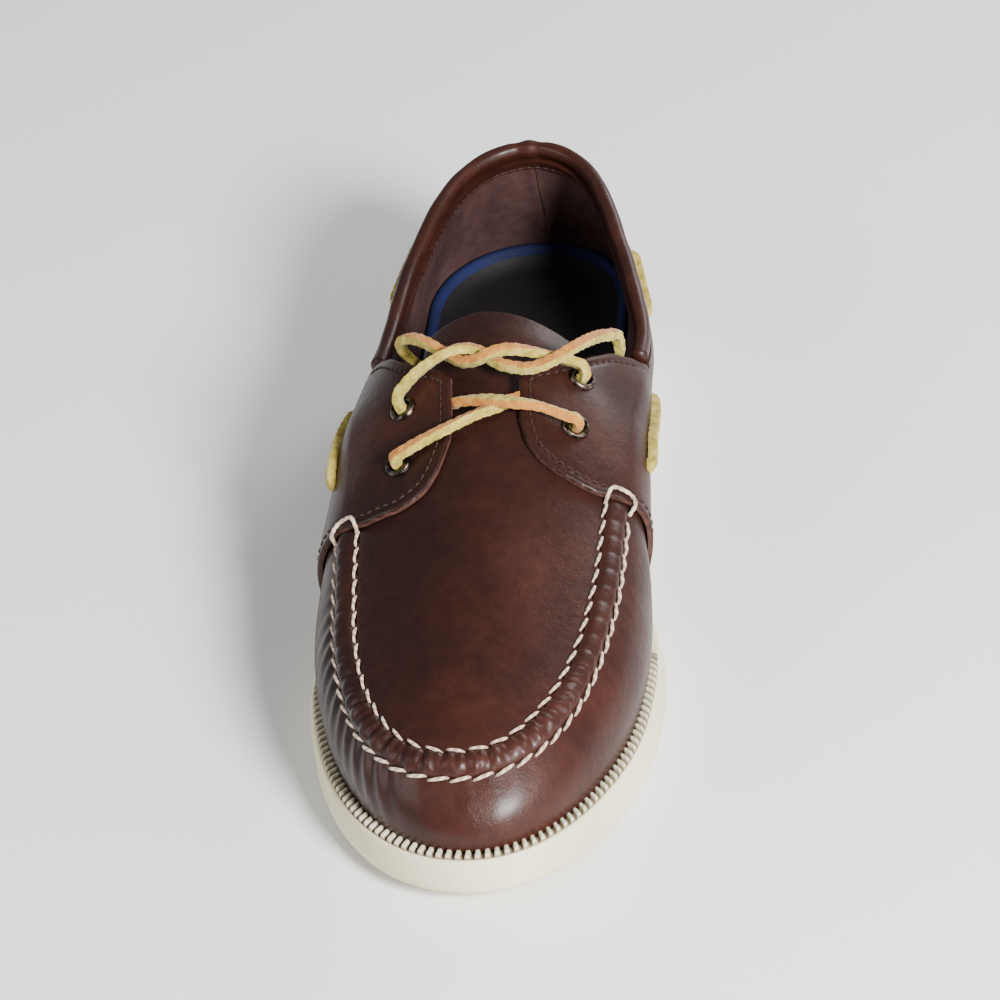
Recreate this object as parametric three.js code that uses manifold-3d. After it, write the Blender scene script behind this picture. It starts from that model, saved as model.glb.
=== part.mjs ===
// A two-eye leather boat shoe for the right foot, standing empty on its sole.
// Millimetres, +Z up, the toe towards -Y, the medial side towards +X.
// The origin is on the floor, in the middle of the shoe's length and width.
import * as THREE from "three";
import { mergeVertices } from "three/addons/utils/BufferGeometryUtils.js";
import Module from "manifold-3d";

const wasm = await Module();
wasm.setup();

// Driving sizes, in millimetres
const outsoleLength = 298;
const ballWidth = 108;
const collarHeight = 70;
const crownHeight = 84;
const soleHeelHeight = 24;
const wallThickness = 2;
const overlayThickness = 1.8;
const clearance = 0.3;
const overlayGap = 0.6;
const heelSetback = 6;
const seamSetback = 19;
const toeLedge = 5;
const sideLedge = 2.5;
const ribPitch = 2.8;
const ribHeight = 1.6;
const ribSetback = 1.8;
const laceThickness = 3.2;
const eyeletBore = 2.6;
const eyeletWall = 0.5;
const eyeletFlange = 4.4;
const eyeletRimHeight = 1.1;
const collarRollRadius = 2.6;
const collarRollGap = 0.36;
const seamRollWidth = 4.2;
const seamRollHeight = 2.4;
const tongueThickness = 2.4;
const tongueGap = 1.2;
const insoleThickness = 4;
const insoleRim = 2.6;
const insoleGap = 0.5;

// Plan of the outsole: at is the share of the length from the heel, the rest are shares of the ball width
const outsolePlan = [
  { at: 0.0, centre: 0.0, lateral: 0.356, medial: 0.335 },
  { at: 0.15, centre: 0.005, lateral: 0.361, medial: 0.332 },
  { at: 0.3, centre: 0.01, lateral: 0.361, medial: 0.322 },
  { at: 0.42, centre: 0.01, lateral: 0.378, medial: 0.31 },
  { at: 0.55, centre: 0.015, lateral: 0.445, medial: 0.372 },
  { at: 0.65, centre: 0.02, lateral: 0.495, medial: 0.472 },
  { at: 0.73, centre: 0.02, lateral: 0.505, medial: 0.495 },
  { at: 0.82, centre: 0.025, lateral: 0.495, medial: 0.505 },
  { at: 1.0, centre: 0.055, lateral: 0.49, medial: 0.475 },
];
const heelRound = { length: 0.13, power: 2.1 };
const toeRound = { length: 0.34, power: 2.1 };

// How far the sole stands out past the upper, as a share of the toe ledge
const ledgeShare = [
  { at: 0.0, width: sideLedge / toeLedge },
  { at: 0.5, width: sideLedge / toeLedge },
  { at: 0.66, width: 0.9 },
  { at: 1.0, width: 1.0 },
];

// Heights of the outsole's top and of its tread, as shares of its height at the heel
const soleProfile = [
  { at: 0.0, top: 1.0, tread: 0.03 },
  { at: 0.05, top: 1.0, tread: 0.0 },
  { at: 0.28, top: 0.94, tread: 0.0 },
  { at: 0.33, top: 0.91, tread: 0.11 },
  { at: 0.45, top: 0.78, tread: 0.12 },
  { at: 0.56, top: 0.67, tread: 0.0 },
  { at: 0.72, top: 0.57, tread: 0.0 },
  { at: 0.8, top: 0.57, tread: 0.01 },
  { at: 0.9, top: 0.65, tread: 0.09 },
  { at: 1.0, top: 0.78, tread: 0.26 },
];

// The line at the top of the wall: the topline round the collar, then the seam round the toe.
// at is the share from the collar's back to the seam's front. The widths are shares of the ball
// width, rise and crown are shares of the collar and crown heights, lean and foot are degrees.
const topPlan = [
  { at: 0.0, centre: 0.0, lateral: 0.252, medial: 0.25, rise: 1.01, crown: 1.0, lean: 6, foot: 14 },
  { at: 0.08, centre: 0.0, lateral: 0.258, medial: 0.258, rise: 0.97, crown: 1.0, lean: 6, foot: 14 },
  { at: 0.22, centre: 0.0, lateral: 0.332, medial: 0.35, rise: 0.83, crown: 1.02, lean: 8, foot: 12 },
  { at: 0.34, centre: -0.004, lateral: 0.355, medial: 0.412, rise: 0.77, crown: 1.03, lean: 10, foot: 12 },
  { at: 0.43, centre: -0.006, lateral: 0.368, medial: 0.415, rise: 0.81, crown: 1.0, lean: 22, foot: 12 },
  { at: 0.5, centre: 0.004, lateral: 0.384, medial: 0.393, rise: 0.82, crown: 0.93, lean: 36, foot: 12 },
  { at: 0.58, centre: 0.018, lateral: 0.386, medial: 0.378, rise: 0.77, crown: 0.84, lean: 46, foot: 13 },
  { at: 0.66, centre: 0.018, lateral: 0.376, medial: 0.368, rise: 0.705, crown: 0.745, lean: 52, foot: 14 },
  { at: 0.78, centre: 0.02, lateral: 0.362, medial: 0.36, rise: 0.625, crown: 0.65, lean: 52, foot: 14 },
  { at: 0.9, centre: 0.026, lateral: 0.366, medial: 0.352, rise: 0.567, crown: 0.56, lean: 50, foot: 12 },
  { at: 1.0, centre: 0.032, lateral: 0.38, medial: 0.352, rise: 0.555, crown: 0.463, lean: 48, foot: 10 },
];
const collarRound = { length: 0.14, power: 2.0 };
const seamRound = { length: 0.31, power: 2.25 };

// Where things are along the top line, as shares of it
const cornerAt = 0.385;
const throatAt = 0.555;
const spineFront = 0.88;
const backSeamAt = 0.00002;
const wallRows = 5;
const seamFrom = { lateral: 0.664, medial: 0.631 };
const ribsFrom = 0.68;
const ribGroove = 0.35;
const ribSlope = 0.25;
const ribOverlap = 0.25;
const cupAt = 0.4;
const cupInset = 1.6;
const tongueFront = 0.63;
const tongueBack = 0.405;
const tongueRound = 0.03;
const tongueReach = { lateral: 0.55, medial: 0.64 };

// Edges of the throat: how far in from the top line the opening's edge lies, 1 at the middle
const throatEdge = [
  { at: cornerAt, reach: 0 },
  { at: 0.46, reach: 0.22 },
  { at: 0.51, reach: 0.58 },
  { at: throatAt - 0.004, reach: 0.6 },
  { at: throatAt, reach: 1 },
];

// The quarters' front edges on the wall, up from the sole to the top line
const quarterFront = [
  { up: 0.0, lateral: 0.625, medial: 0.6 },
  { up: 0.5, lateral: 0.64, medial: 0.612 },
  { up: 1.0, lateral: 0.656, medial: 0.623 },
];

// The facings, from the top line (rise 0) to their edge over the tongue (rise 1):
// where their top edge and each side's front edge lie
const facingEdges = [
  { rise: 0.0, top: cornerAt, lateral: 0.656, medial: 0.623 },
  { rise: 0.25, top: 0.42, lateral: 0.665, medial: 0.63 },
  { rise: 0.5, top: 0.46, lateral: 0.665, medial: 0.625 },
  { rise: 0.75, top: 0.488, lateral: 0.653, medial: 0.612 },
  { rise: 0.9, top: 0.5, lateral: 0.628, medial: 0.595 },
  { rise: 1.0, top: 0.512, lateral: 0.59, medial: 0.565 },
];
const facingReach = { lateral: 0.78, medial: 0.74 };

// The seam roll's section: shares of its half width across, and of its height
const seamRollSection = [
  { across: -1, height: 0.45 },
  { across: -0.6, height: 0.9 },
  { across: 0, height: 1 },
  { across: 0.6, height: 0.9 },
  { across: 1, height: 0.45 },
];

// The outsole's side: how far in from the outline, in millimetres, and shares of the height
const soleRings = [
  { inset: null, height: 0 },
  { inset: 2.2, height: 0 },
  { inset: 0.4, height: 0.1 },
  { inset: 0, height: 0.3 },
  { inset: 0.6, height: 0.62 },
  { inset: 0.9, height: 0.94 },
  { inset: 1.6, height: 1 },
  { inset: null, height: 1 },
];

// How high the footbed's edge climbs the wall
const insoleEdge = [
  { at: 0.0, up: 0.22 },
  { at: 0.2, up: 0.22 },
  { at: 0.38, up: 0.17 },
  { at: 0.5, up: 0.15 },
  { at: 1.0, up: 0.14 },
];

// Eyelets on the facings
const eyelets = [
  { name: "eyelet_lateral_upper", side: -1, at: 0.534, up: 1.43 },
  { name: "eyelet_lateral_lower", side: -1, at: 0.606, up: 1.42 },
  { name: "eyelet_medial_upper", side: 1, at: 0.489, up: 1.34 },
  { name: "eyelet_medial_lower", side: 1, at: 0.559, up: 1.36 },
];

const radians = (degrees) => (degrees * Math.PI) / 180;
const clamp = (value, low, high) => Math.min(Math.max(value, low), high);
const mix = (a, b, share) => a + (b - a) * share;
const add = (p, q, scale = 1) => p.map((value, k) => value + scale * q[k]);
const length = (p) => Math.hypot(...p);
const unit = (p) => p.map((value) => value / (length(p) || 1));
const cross = (p, q) => [
  p[1] * q[2] - p[2] * q[1],
  p[2] * q[0] - p[0] * q[2],
  p[0] * q[1] - p[1] * q[0],
];

// A smooth curve through one column of a table, which never overshoots its rows
function along(rows, column, at, key = "at") {
  const x = rows.map((row) => row[key]);
  const y = rows.map((row) => row[column]);
  if (at <= x[0]) return y[0];
  if (at >= x[x.length - 1]) return y[y.length - 1];
  const slope = y.slice(1).map((value, k) => (value - y[k]) / (x[k + 1] - x[k]));
  const tangent = (k) => {
    if (k === 0) return slope[0];
    if (k === slope.length) return slope[k - 1];
    const product = slope[k - 1] * slope[k];
    return product > 0 ? (2 * product) / (slope[k - 1] + slope[k]) : 0;
  };
  const k = x.findIndex((value, n) => at >= value && at < x[n + 1]);
  const step = x[k + 1] - x[k];
  const f = (at - x[k]) / step;
  return (
    (2 * f ** 3 - 3 * f ** 2 + 1) * y[k] +
    (f ** 3 - 2 * f ** 2 + f) * step * tangent(k) +
    (3 * f ** 2 - 2 * f ** 3) * y[k + 1] +
    (f ** 3 - f ** 2) * step * tangent(k + 1)
  );
}

// 1 in the middle of a length, falling to 0 round each end as a superellipse does
function roundEnds(at, heel, toe) {
  const end = (share, { length: reach, power }) =>
    share >= reach ? 1 : Math.max(0, 1 - (1 - share / reach) ** power) ** (1 / power);
  return end(at, heel) * end(1 - at, toe);
}

const halfKey = (side) => (side < 0 ? "lateral" : "medial");
const soleShare = (y) => 0.5 - y / outsoleLength;
const ledge = (at) => toeLedge * along(ledgeShare, "width", at);
const soleTop = (y) => soleHeelHeight * along(soleProfile, "top", soleShare(y));
const soleTread = (y) => soleHeelHeight * along(soleProfile, "tread", soleShare(y));

// A point in plan on the sole's outline, moved in by inset all round
function soleEdge(side, at, inset) {
  const half = along(outsolePlan, halfKey(side), at) * ballWidth - inset;
  const x = along(outsolePlan, "centre", at) * ballWidth + side * half * roundEnds(at, heelRound, toeRound);
  return [x, outsoleLength / 2 - inset - at * (outsoleLength - 2 * inset)];
}

// The feather line, where the upper meets the sole
function feather(side, at) {
  const x = soleEdge(side, at, ledge(at))[0];
  const y = outsoleLength / 2 - sideLedge - at * (outsoleLength - sideLedge - toeLedge);
  return [x, y, soleTop(y) + clearance];
}

const topLength = outsoleLength - heelSetback - seamSetback;
const topY = (at) => outsoleLength / 2 - heelSetback - at * topLength;
const crown = (at) => crownHeight * along(topPlan, "crown", at);
const spineX = (at) => ballWidth * along(topPlan, "centre", at);

// The top line: the collar's edge, then the seam
function topLine(side, at) {
  const half = along(topPlan, halfKey(side), at) * ballWidth * roundEnds(at, collarRound, seamRound);
  return [spineX(at) + side * half, topY(at), collarHeight * along(topPlan, "rise", at)];
}

// Outward direction in plan at a place on the feather line
function outward(side, at) {
  const step = 0.004;
  const a = feather(side, clamp(at - step, 0, 1));
  const b = feather(side, clamp(at + step, 0, 1));
  if (at < step) return [0, 1, 0];
  if (at > 1 - step) return [0, -1, 0];
  return unit([side * (a[1] - b[1]), side * (b[0] - a[0]), 0]);
}

// The wall from the feather line (up 0) to the top line (up 1), a cubic in up
function wall(side, at, rise) {
  const foot = feather(side, at);
  const top = topLine(side, at);
  const out = outward(side, at);
  const reach = 0.38 * length(add(top, foot, -1));
  const footLean = radians(along(topPlan, "foot", at));
  const topLean = radians(along(topPlan, "lean", at));
  const low = add(add(foot, out, reach * Math.sin(footLean)), [0, 0, 1], reach * Math.cos(footLean));
  const high = add(add(top, out, reach * Math.sin(topLean)), [0, 0, 1], -reach * Math.cos(topLean));
  const rest = 1 - rise;
  return [0, 1, 2].map(
    (k) =>
      rest ** 3 * foot[k] + 3 * rest ** 2 * rise * low[k] + 3 * rest * rise ** 2 * high[k] + rise ** 3 * top[k],
  );
}

// The arch inside the top line: reach 0 at the line, 1 at the middle of the shoe
function arch(side, at, reach) {
  const top = topLine(side, at);
  const spineAt = Math.min(at, spineFront);
  const x = mix(top[0], spineX(spineAt), reach);
  const y = mix(top[1], topY(spineAt), reach);
  const here = mix(at, spineAt, reach);
  return [x, y, crown(here) - (crown(at) - top[2]) * (1 - reach) ** 2];
}

const skin = (side, at, up) => (up <= 1 ? wall(side, at, up) : arch(side, at, up - 1));

// The skin's outward direction, from small steps along it
function normal(side, at, up) {
  const step = 0.01;
  if (up > 1.99) {
    const spineAt = Math.min(at, spineFront);
    const fall = (crown(spineAt + step) - crown(spineAt - step)) / (2 * step * topLength);
    return unit([0, fall, 1]);
  }
  const angle = Math.acos(1 - 2 * clamp(at, 0, 1)) * side;
  const turn = (change) => {
    const moved = angle + change;
    return skin(Math.sign(moved * (Math.PI - Math.abs(moved))) || side, (1 - Math.cos(moved)) / 2, up);
  };
  const round = add(turn(0.03), turn(-0.03), -1);
  const lid = at < cornerAt && up <= 1 ? 1 : 1.99;
  const climb = add(skin(side, at, Math.min(up + step, lid)), skin(side, at, Math.max(up - step, 0)), -1);
  return unit(cross(climb, round));
}

// A point off the skin: out is positive, in is negative
const off = (side, at, up, distance) => add(skin(side, at, up), normal(side, at, up), distance);

// Shares of the length, close together round the two ends, with some more that an edge needs
function stations(count, extra = []) {
  const even = Array.from({ length: count + 1 }, (_, k) => (1 - Math.cos((Math.PI * k) / count)) / 2);
  const near = (a) => extra.some((b) => Math.abs(a - b) < 0.008);
  return [...even.filter((a) => !near(a)), ...extra].sort((a, b) => a - b);
}

// The closed loop of places round the shoe: heel, lateral side, toe, medial side
function loopPlaces(shares) {
  const lateral = shares.map((at) => ({ side: -1, at }));
  const medial = shares.slice(1, -1).reverse().map((at) => ({ side: 1, at }));
  return [...lateral, ...medial];
}

// A closed body from its corner points and faces, with shared corners merged
function bodyFrom(points, faces) {
  const raw = new THREE.BufferGeometry();
  raw.setAttribute("position", new THREE.Float32BufferAttribute(points.flat(), 3));
  raw.setIndex(faces.flat());
  const merged = mergeVertices(raw, 0.002);
  const index = [];
  for (let k = 0; k < merged.index.count; k += 3) {
    const [a, b, c] = [0, 1, 2].map((n) => merged.index.getX(k + n));
    if (a !== b && b !== c && c !== a) index.push(a, b, c);
  }
  merged.setIndex(index);
  return merged;
}

// Two faces over the four corners a, b, c, d of a grid's cell
const cell = (a, b, c, d) => [
  [a, b, c],
  [a, c, d],
];

// A body between an outer and an inner grid of columns, closed round its edges.
// Columns run round the shoe, and each starts at the bottom. joined says which end at the middle.
function bodyBetween(outer, inner, { closed = false, joined = [] } = {}) {
  const columns = outer.length;
  const rows = outer[0].length;
  const points = [...outer.flat(), ...inner.flat()];
  const o = (i, j) => (i % columns) * rows + j;
  const n = (i, j) => columns * rows + o(i, j);
  const faces = [];
  for (let i = 0; i < columns - (closed ? 0 : 1); i++) {
    for (let j = 0; j < rows - 1; j++) {
      faces.push(...cell(o(i, j), o(i + 1, j), o(i + 1, j + 1), o(i, j + 1)));
      faces.push(...cell(n(i, j), n(i, j + 1), n(i + 1, j + 1), n(i + 1, j)));
    }
    faces.push(...cell(o(i, 0), n(i, 0), n(i + 1, 0), o(i + 1, 0)));
    const middle = joined[i] && joined[(i + 1) % columns];
    const last = rows - 1;
    if (!middle) faces.push(...cell(o(i, last), o(i + 1, last), n(i + 1, last), n(i, last)));
  }
  if (!closed) {
    const last = columns - 1;
    for (let j = 0; j < rows - 1; j++) {
      faces.push(...cell(o(0, j), o(0, j + 1), n(0, j + 1), n(0, j)));
      faces.push(...cell(o(last, j), n(last, j), n(last, j + 1), o(last, j + 1)));
    }
  }
  return bodyFrom(points, faces);
}

// A body round a ring of closed sections, or along an open run of them with flat ends
function bodyAlong(sections, closed = false) {
  const columns = sections.length;
  const rows = sections[0].length;
  const points = sections.flat();
  const p = (i, j) => (i % columns) * rows + (j % rows);
  const faces = [];
  for (let i = 0; i < columns - (closed ? 0 : 1); i++)
    for (let j = 0; j < rows; j++) faces.push(...cell(p(i, j), p(i + 1, j), p(i + 1, j + 1), p(i, j + 1)));
  if (!closed)
    for (let j = 1; j < rows - 1; j++) {
      faces.push([p(0, 0), p(0, j), p(0, j + 1)]);
      faces.push([p(columns - 1, 0), p(columns - 1, j + 1), p(columns - 1, j)]);
    }
  return bodyFrom(points, faces);
}

function toManifold(geometry) {
  return new wasm.Manifold(
    new wasm.Mesh({
      numProp: 3,
      vertProperties: new Float32Array(geometry.attributes.position.array),
      triVerts: new Uint32Array(geometry.index.array),
    }),
  );
}

function fromManifold(solid) {
  const mesh = solid.getMesh();
  const geometry = new THREE.BufferGeometry();
  geometry.setAttribute("position", new THREE.BufferAttribute(mesh.vertProperties, 3));
  geometry.setIndex(new THREE.BufferAttribute(mesh.triVerts, 1));
  return geometry;
}

function welded(geometry) {
  geometry.deleteAttribute("normal");
  geometry.deleteAttribute("uv");
  return mergeVertices(geometry, 0.001);
}

// The outsole: rings from the middle of the tread round its side to the middle of its top
function outsole() {
  const places = loopPlaces(stations(34, [0.05, 0.28, 0.56, 0.72]));
  const columns = places.map(({ side, at }) =>
    soleRings.map(({ inset, height }) => {
      const middle = clamp(at, 0.06, 0.94);
      const spine = [ballWidth * along(outsolePlan, "centre", middle), outsoleLength * (0.5 - middle)];
      const [x, y] = inset === null ? spine : soleEdge(side, at, inset);
      return [x, y, mix(soleTread(y), soleTop(y), height)];
    }),
  );
  return bodyOfRings(columns);
}

// A body whose columns all start and end on its middle line
function bodyOfRings(columns) {
  const rows = columns[0].length;
  const faces = columns.flatMap((column, i) =>
    column.slice(1).flatMap((_, j) => {
      const next = (i + 1) % columns.length;
      return cell(i * rows + j, next * rows + j, next * rows + j + 1, i * rows + j + 1);
    }),
  );
  return bodyFrom(columns.flat(), faces);
}

// The row of cross ribs on the sole's ledge round the forefoot
function toeRibs() {
  const arc = [];
  const samples = 800;
  const start = Math.acos(1 - 2 * ribsFrom);
  for (let k = 0; k <= samples; k++) {
    const angle = mix(start, 2 * Math.PI - start, k / samples);
    const place = { side: angle < Math.PI ? -1 : 1, at: (1 - Math.cos(angle)) / 2 };
    const [x, y] = soleEdge(place.side, place.at, toeLedge / 2);
    const last = arc[arc.length - 1];
    const run = last ? last.run + Math.hypot(x - last.x, y - last.y) : 0;
    arc.push({ ...place, x, y, run });
  }
  const total = arc[arc.length - 1].run;
  const ribs = Math.round(total / ribPitch);
  const sections = Array.from({ length: 2 * ribs + 1 }, (_, k) => {
    const { side, at } = arc.find(({ run }) => run >= (total * k) / (2 * ribs) - 1e-9);
    const rise = k % 2 === 1 ? ribHeight : ribGroove * ribHeight;
    const [xOut, yOut] = soleEdge(side, at, ribSetback);
    const [xFoot, yFoot] = soleEdge(side, at, ribSetback + ribSlope * rise);
    const inner = feather(side, at);
    const [xIn, yIn] = add(inner, outward(side, at), clearance + ribOverlap);
    return [
      [xOut, yOut, soleTop(yOut) + clearance],
      [xFoot, yFoot, soleTop(yFoot) + clearance + rise],
      [xIn, yIn, soleTop(yIn) + clearance + rise],
      [xIn, yIn, soleTop(yIn) + clearance],
    ];
  });
  return bodyAlong(sections);
}

// A point off the skin that stays level with the sole's top at the foot
function layer(side, at, up, distance) {
  const [x, y, z] = off(side, at, up, distance);
  return [x, y, up === 0 ? soleTop(y) + clearance : z];
}

// How far in from the top line the wall of the upper reaches at a share of the length
function edgeReach(at) {
  if (at >= throatAt) return 1;
  const row = throatEdge.findIndex((r, k) => k < throatEdge.length - 1 && at >= r.at && at < throatEdge[k + 1].at);
  if (row < 0) return 0;
  const [a, b] = [throatEdge[row], throatEdge[row + 1]];
  return mix(a.reach, b.reach, (at - a.at) / (b.at - a.at));
}

// The shares of the length at which the upper and the quarters have their columns
const upperStations = () => stations(28, [cornerAt - 0.004, ...throatEdge.map((row) => row.at)]);

// The upper's one hollow wall
function upper() {
  const archRows = 5;
  const places = loopPlaces(upperStations());
  const column = ({ side, at }, distance) => {
    const reach = edgeReach(at);
    const low = Array.from({ length: wallRows }, (_, k) => k / wallRows);
    const high = Array.from({ length: archRows + 1 }, (_, k) => 1 + (reach * k) / archRows);
    return [...low, ...high].map((up) => layer(side, at, up, distance));
  };
  const outer = places.map((place) => column(place, 0));
  const inner = places.map((place) => column(place, -wallThickness));
  const joined = places.map(({ at }) => at >= throatAt);
  return bodyBetween(outer, inner, { closed: true, joined });
}

// One side's quarter: round the heel to its half of the back seam, and up over the instep as the facing
function quarter(side) {
  const backStations = upperStations().filter((at) => at > backSeamAt && at <= cornerAt);
  const starts = [backSeamAt, ...backStations];
  const key = halfKey(side);
  const backColumns = starts.length - 1;
  const facingColumns = 8;
  const archRows = 6;
  const low = Array.from({ length: wallRows }, (_, k) => k / wallRows);
  const high = Array.from({ length: archRows + 1 }, (_, k) => k / archRows);
  const columnAt = (k) => {
    const back = k <= backColumns;
    const share = back ? 0 : (k - backColumns) / facingColumns;
    const start = starts[Math.min(k, backColumns)];
    const wallPlaces = low.map((up) => ({
      up,
      at: back ? start : mix(cornerAt, along(quarterFront, key, up, "up"), share),
    }));
    const archPlaces = high.map((rise) => {
      if (k < backColumns) return { up: 1, at: start };
      const top = along(facingEdges, "top", rise, "rise");
      const front = along(facingEdges, key, rise, "rise");
      return { up: 1 + rise * facingReach[key], at: mix(top, front, share) };
    });
    return [...wallPlaces, ...archPlaces];
  };
  const columns = Array.from({ length: backColumns + facingColumns + 1 }, (_, k) => columnAt(k));
  const ordered = side < 0 ? columns : columns.reverse();
  const sheet = (distance) => ordered.map((column) => column.map(({ at, up }) => layer(side, at, up, distance)));
  const body = toManifold(bodyBetween(sheet(overlayGap + overlayThickness), sheet(overlayGap)));
  return fromManifold(body.subtract(holesFor(side)));
}

// Frame of an eyelet: its place on the facing, and its axis
function eyeletFrame({ side, at, up }) {
  const axis = normal(side, at, up);
  const seat = off(side, at, up, overlayGap + overlayThickness + clearance);
  const turn = new THREE.Quaternion().setFromUnitVectors(new THREE.Vector3(0, 1, 0), new THREE.Vector3(...axis));
  return new THREE.Matrix4().compose(new THREE.Vector3(...seat), turn, new THREE.Vector3(1, 1, 1));
}

// The bores through the leather for one side's eyelets
function holesFor(side) {
  const bore = eyeletBore + eyeletWall + clearance;
  const tools = eyelets
    .filter((eyelet) => eyelet.side === side)
    .map((eyelet) => {
      const drill = new THREE.CylinderGeometry(bore, bore, 16, 12).applyMatrix4(eyeletFrame(eyelet));
      return toManifold(welded(drill));
    });
  return tools[0].add(tools[1]);
}

// A rolled metal ring with a short barrel through the facing
function eyelet(place) {
  const barrel = eyeletBore + eyeletWall;
  const profile = [
    [eyeletBore, -overlayThickness],
    [barrel, -overlayThickness],
    [barrel, 0],
    [eyeletFlange, 0],
    [eyeletFlange - clearance, 0.65 * eyeletRimHeight],
    [barrel + clearance, eyeletRimHeight],
    [eyeletBore, 0.55 * eyeletRimHeight],
    [eyeletBore, -overlayThickness],
  ].map(([r, z]) => new THREE.Vector2(r, z));
  return welded(new THREE.LatheGeometry(profile, 12)).applyMatrix4(eyeletFrame(place));
}

// The raised roll along the seam between the wall and the plug
function seamRoll() {
  const steps = 38;
  const from = Math.acos(1 - 2 * seamFrom.lateral);
  const to = 2 * Math.PI - Math.acos(1 - 2 * seamFrom.medial);
  const sections = Array.from({ length: steps + 1 }, (_, k) => {
    const angle = mix(from, to, k / steps);
    const side = angle < Math.PI ? -1 : 1;
    const at = (1 - Math.cos(angle)) / 2;
    const top = topLine(side, at);
    const wallRun = length(add(top, feather(side, at), -1)) * 1.08;
    const archRun = length(add(top, arch(side, at, 1), -1));
    const place = (share, distance) => {
      const run = share < 0 ? wallRun : archRun;
      return off(side, at, 1 + (share * seamRollWidth) / run, distance);
    };
    const under = seamRollSection.map(({ across }) => place(across, clearance));
    const over = seamRollSection.map(({ across, height }) => place(across, clearance + seamRollHeight * height));
    return [...under.reverse(), ...over];
  });
  return bodyAlong(sections);
}

// The padded roll round the collar, from one facing's corner to the other's
function collarRoll() {
  const steps = 38;
  const sides = 8;
  const from = Math.acos(1 - 2 * (cornerAt - 0.006));
  const sections = Array.from({ length: steps + 1 }, (_, k) => {
    const angle = mix(-from, from, k / steps);
    const side = angle < 0 ? -1 : 1;
    const at = (1 - Math.cos(angle)) / 2;
    const top = topLine(side, at);
    const out = normal(side, at, 1);
    const climb = unit(add(skin(side, at, 1), skin(side, at, 0.96), -1));
    const middle = add(top, climb, collarRollRadius + collarRollGap);
    return Array.from({ length: sides }, (_, n) => {
      const turn = (-2 * Math.PI * n) / sides;
      const outPart = collarRollRadius * Math.cos(turn);
      return add(add(middle, out, outPart), climb, collarRollRadius * Math.sin(turn));
    });
  });
  return bodyAlong(sections);
}

// A place on the arch: q runs from -1 at the lateral top line, by 0 in the middle, to 1
const archOff = (q, at, distance) => off(q < 0 ? -1 : 1, at, 2 - Math.abs(q), distance);

// The tongue, under the facings and the plug
function tongue() {
  const acrossSteps = 10;
  const alongSteps = 7;
  const sheet = (distance) =>
    Array.from({ length: acrossSteps + 1 }, (_, i) => {
      const q = mix(-tongueReach.lateral, tongueReach.medial, i / acrossSteps);
      const back = tongueBack + tongueRound * q * q;
      return Array.from({ length: alongSteps + 1 }, (__, j) => archOff(q, mix(tongueFront, back, j / alongSteps), distance));
    });
  const top = -wallThickness - tongueGap;
  return bodyBetween(sheet(top), sheet(top - tongueThickness));
}

// The footbed, with an edge that cups the heel
function insole() {
  const gap = wallThickness + insoleGap;
  const places = loopPlaces(stations(26));
  const columns = places.map(({ side, at }) => {
    const middle = clamp(at, 0.08, 0.92);
    const x = ballWidth * along(outsolePlan, "centre", middle);
    const y = soleEdge(side, middle, 0)[1];
    const rim = along(insoleEdge, "up", at);
    const foot = layer(side, at, 0, -gap);
    const floor = off(side, at, rim * cupAt, -gap - insoleRim * cupInset);
    return [
      [x, y, soleTop(y) + clearance],
      foot,
      off(side, at, rim, -gap),
      off(side, at, rim, -gap - insoleRim),
      [floor[0], floor[1], soleTop(floor[1]) + clearance + insoleThickness],
      [x, y, soleTop(y) + clearance + insoleThickness],
    ];
  });
  return bodyOfRings(columns);
}

// A lace along a hand-set route over the arch: q, at and the height of its middle
function lace(points, steps) {
  const curve = new THREE.CatmullRomCurve3(points.map(([q, at, lift]) => new THREE.Vector3(...archOff(q, at, lift))));
  return laceAlong(curve, steps);
}

// A lace along a quarter's side: at, up and the height of its middle
function sideLace(side, points, steps) {
  const curve = new THREE.CatmullRomCurve3(points.map(([at, up, lift]) => new THREE.Vector3(...off(side, at, up, lift))));
  return laceAlong(curve, steps);
}

function laceAlong(extrudePath, steps) {
  const corners = 8;
  const section = new THREE.Shape(
    Array.from({ length: corners }, (_, n) => {
      const turn = (2 * Math.PI * (n + 0.5)) / corners;
      return new THREE.Vector2(Math.cos(turn), Math.sin(turn)).multiplyScalar(laceThickness / 2);
    }),
  );
  return welded(new THREE.ExtrudeGeometry(section, { steps, extrudePath }));
}

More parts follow.
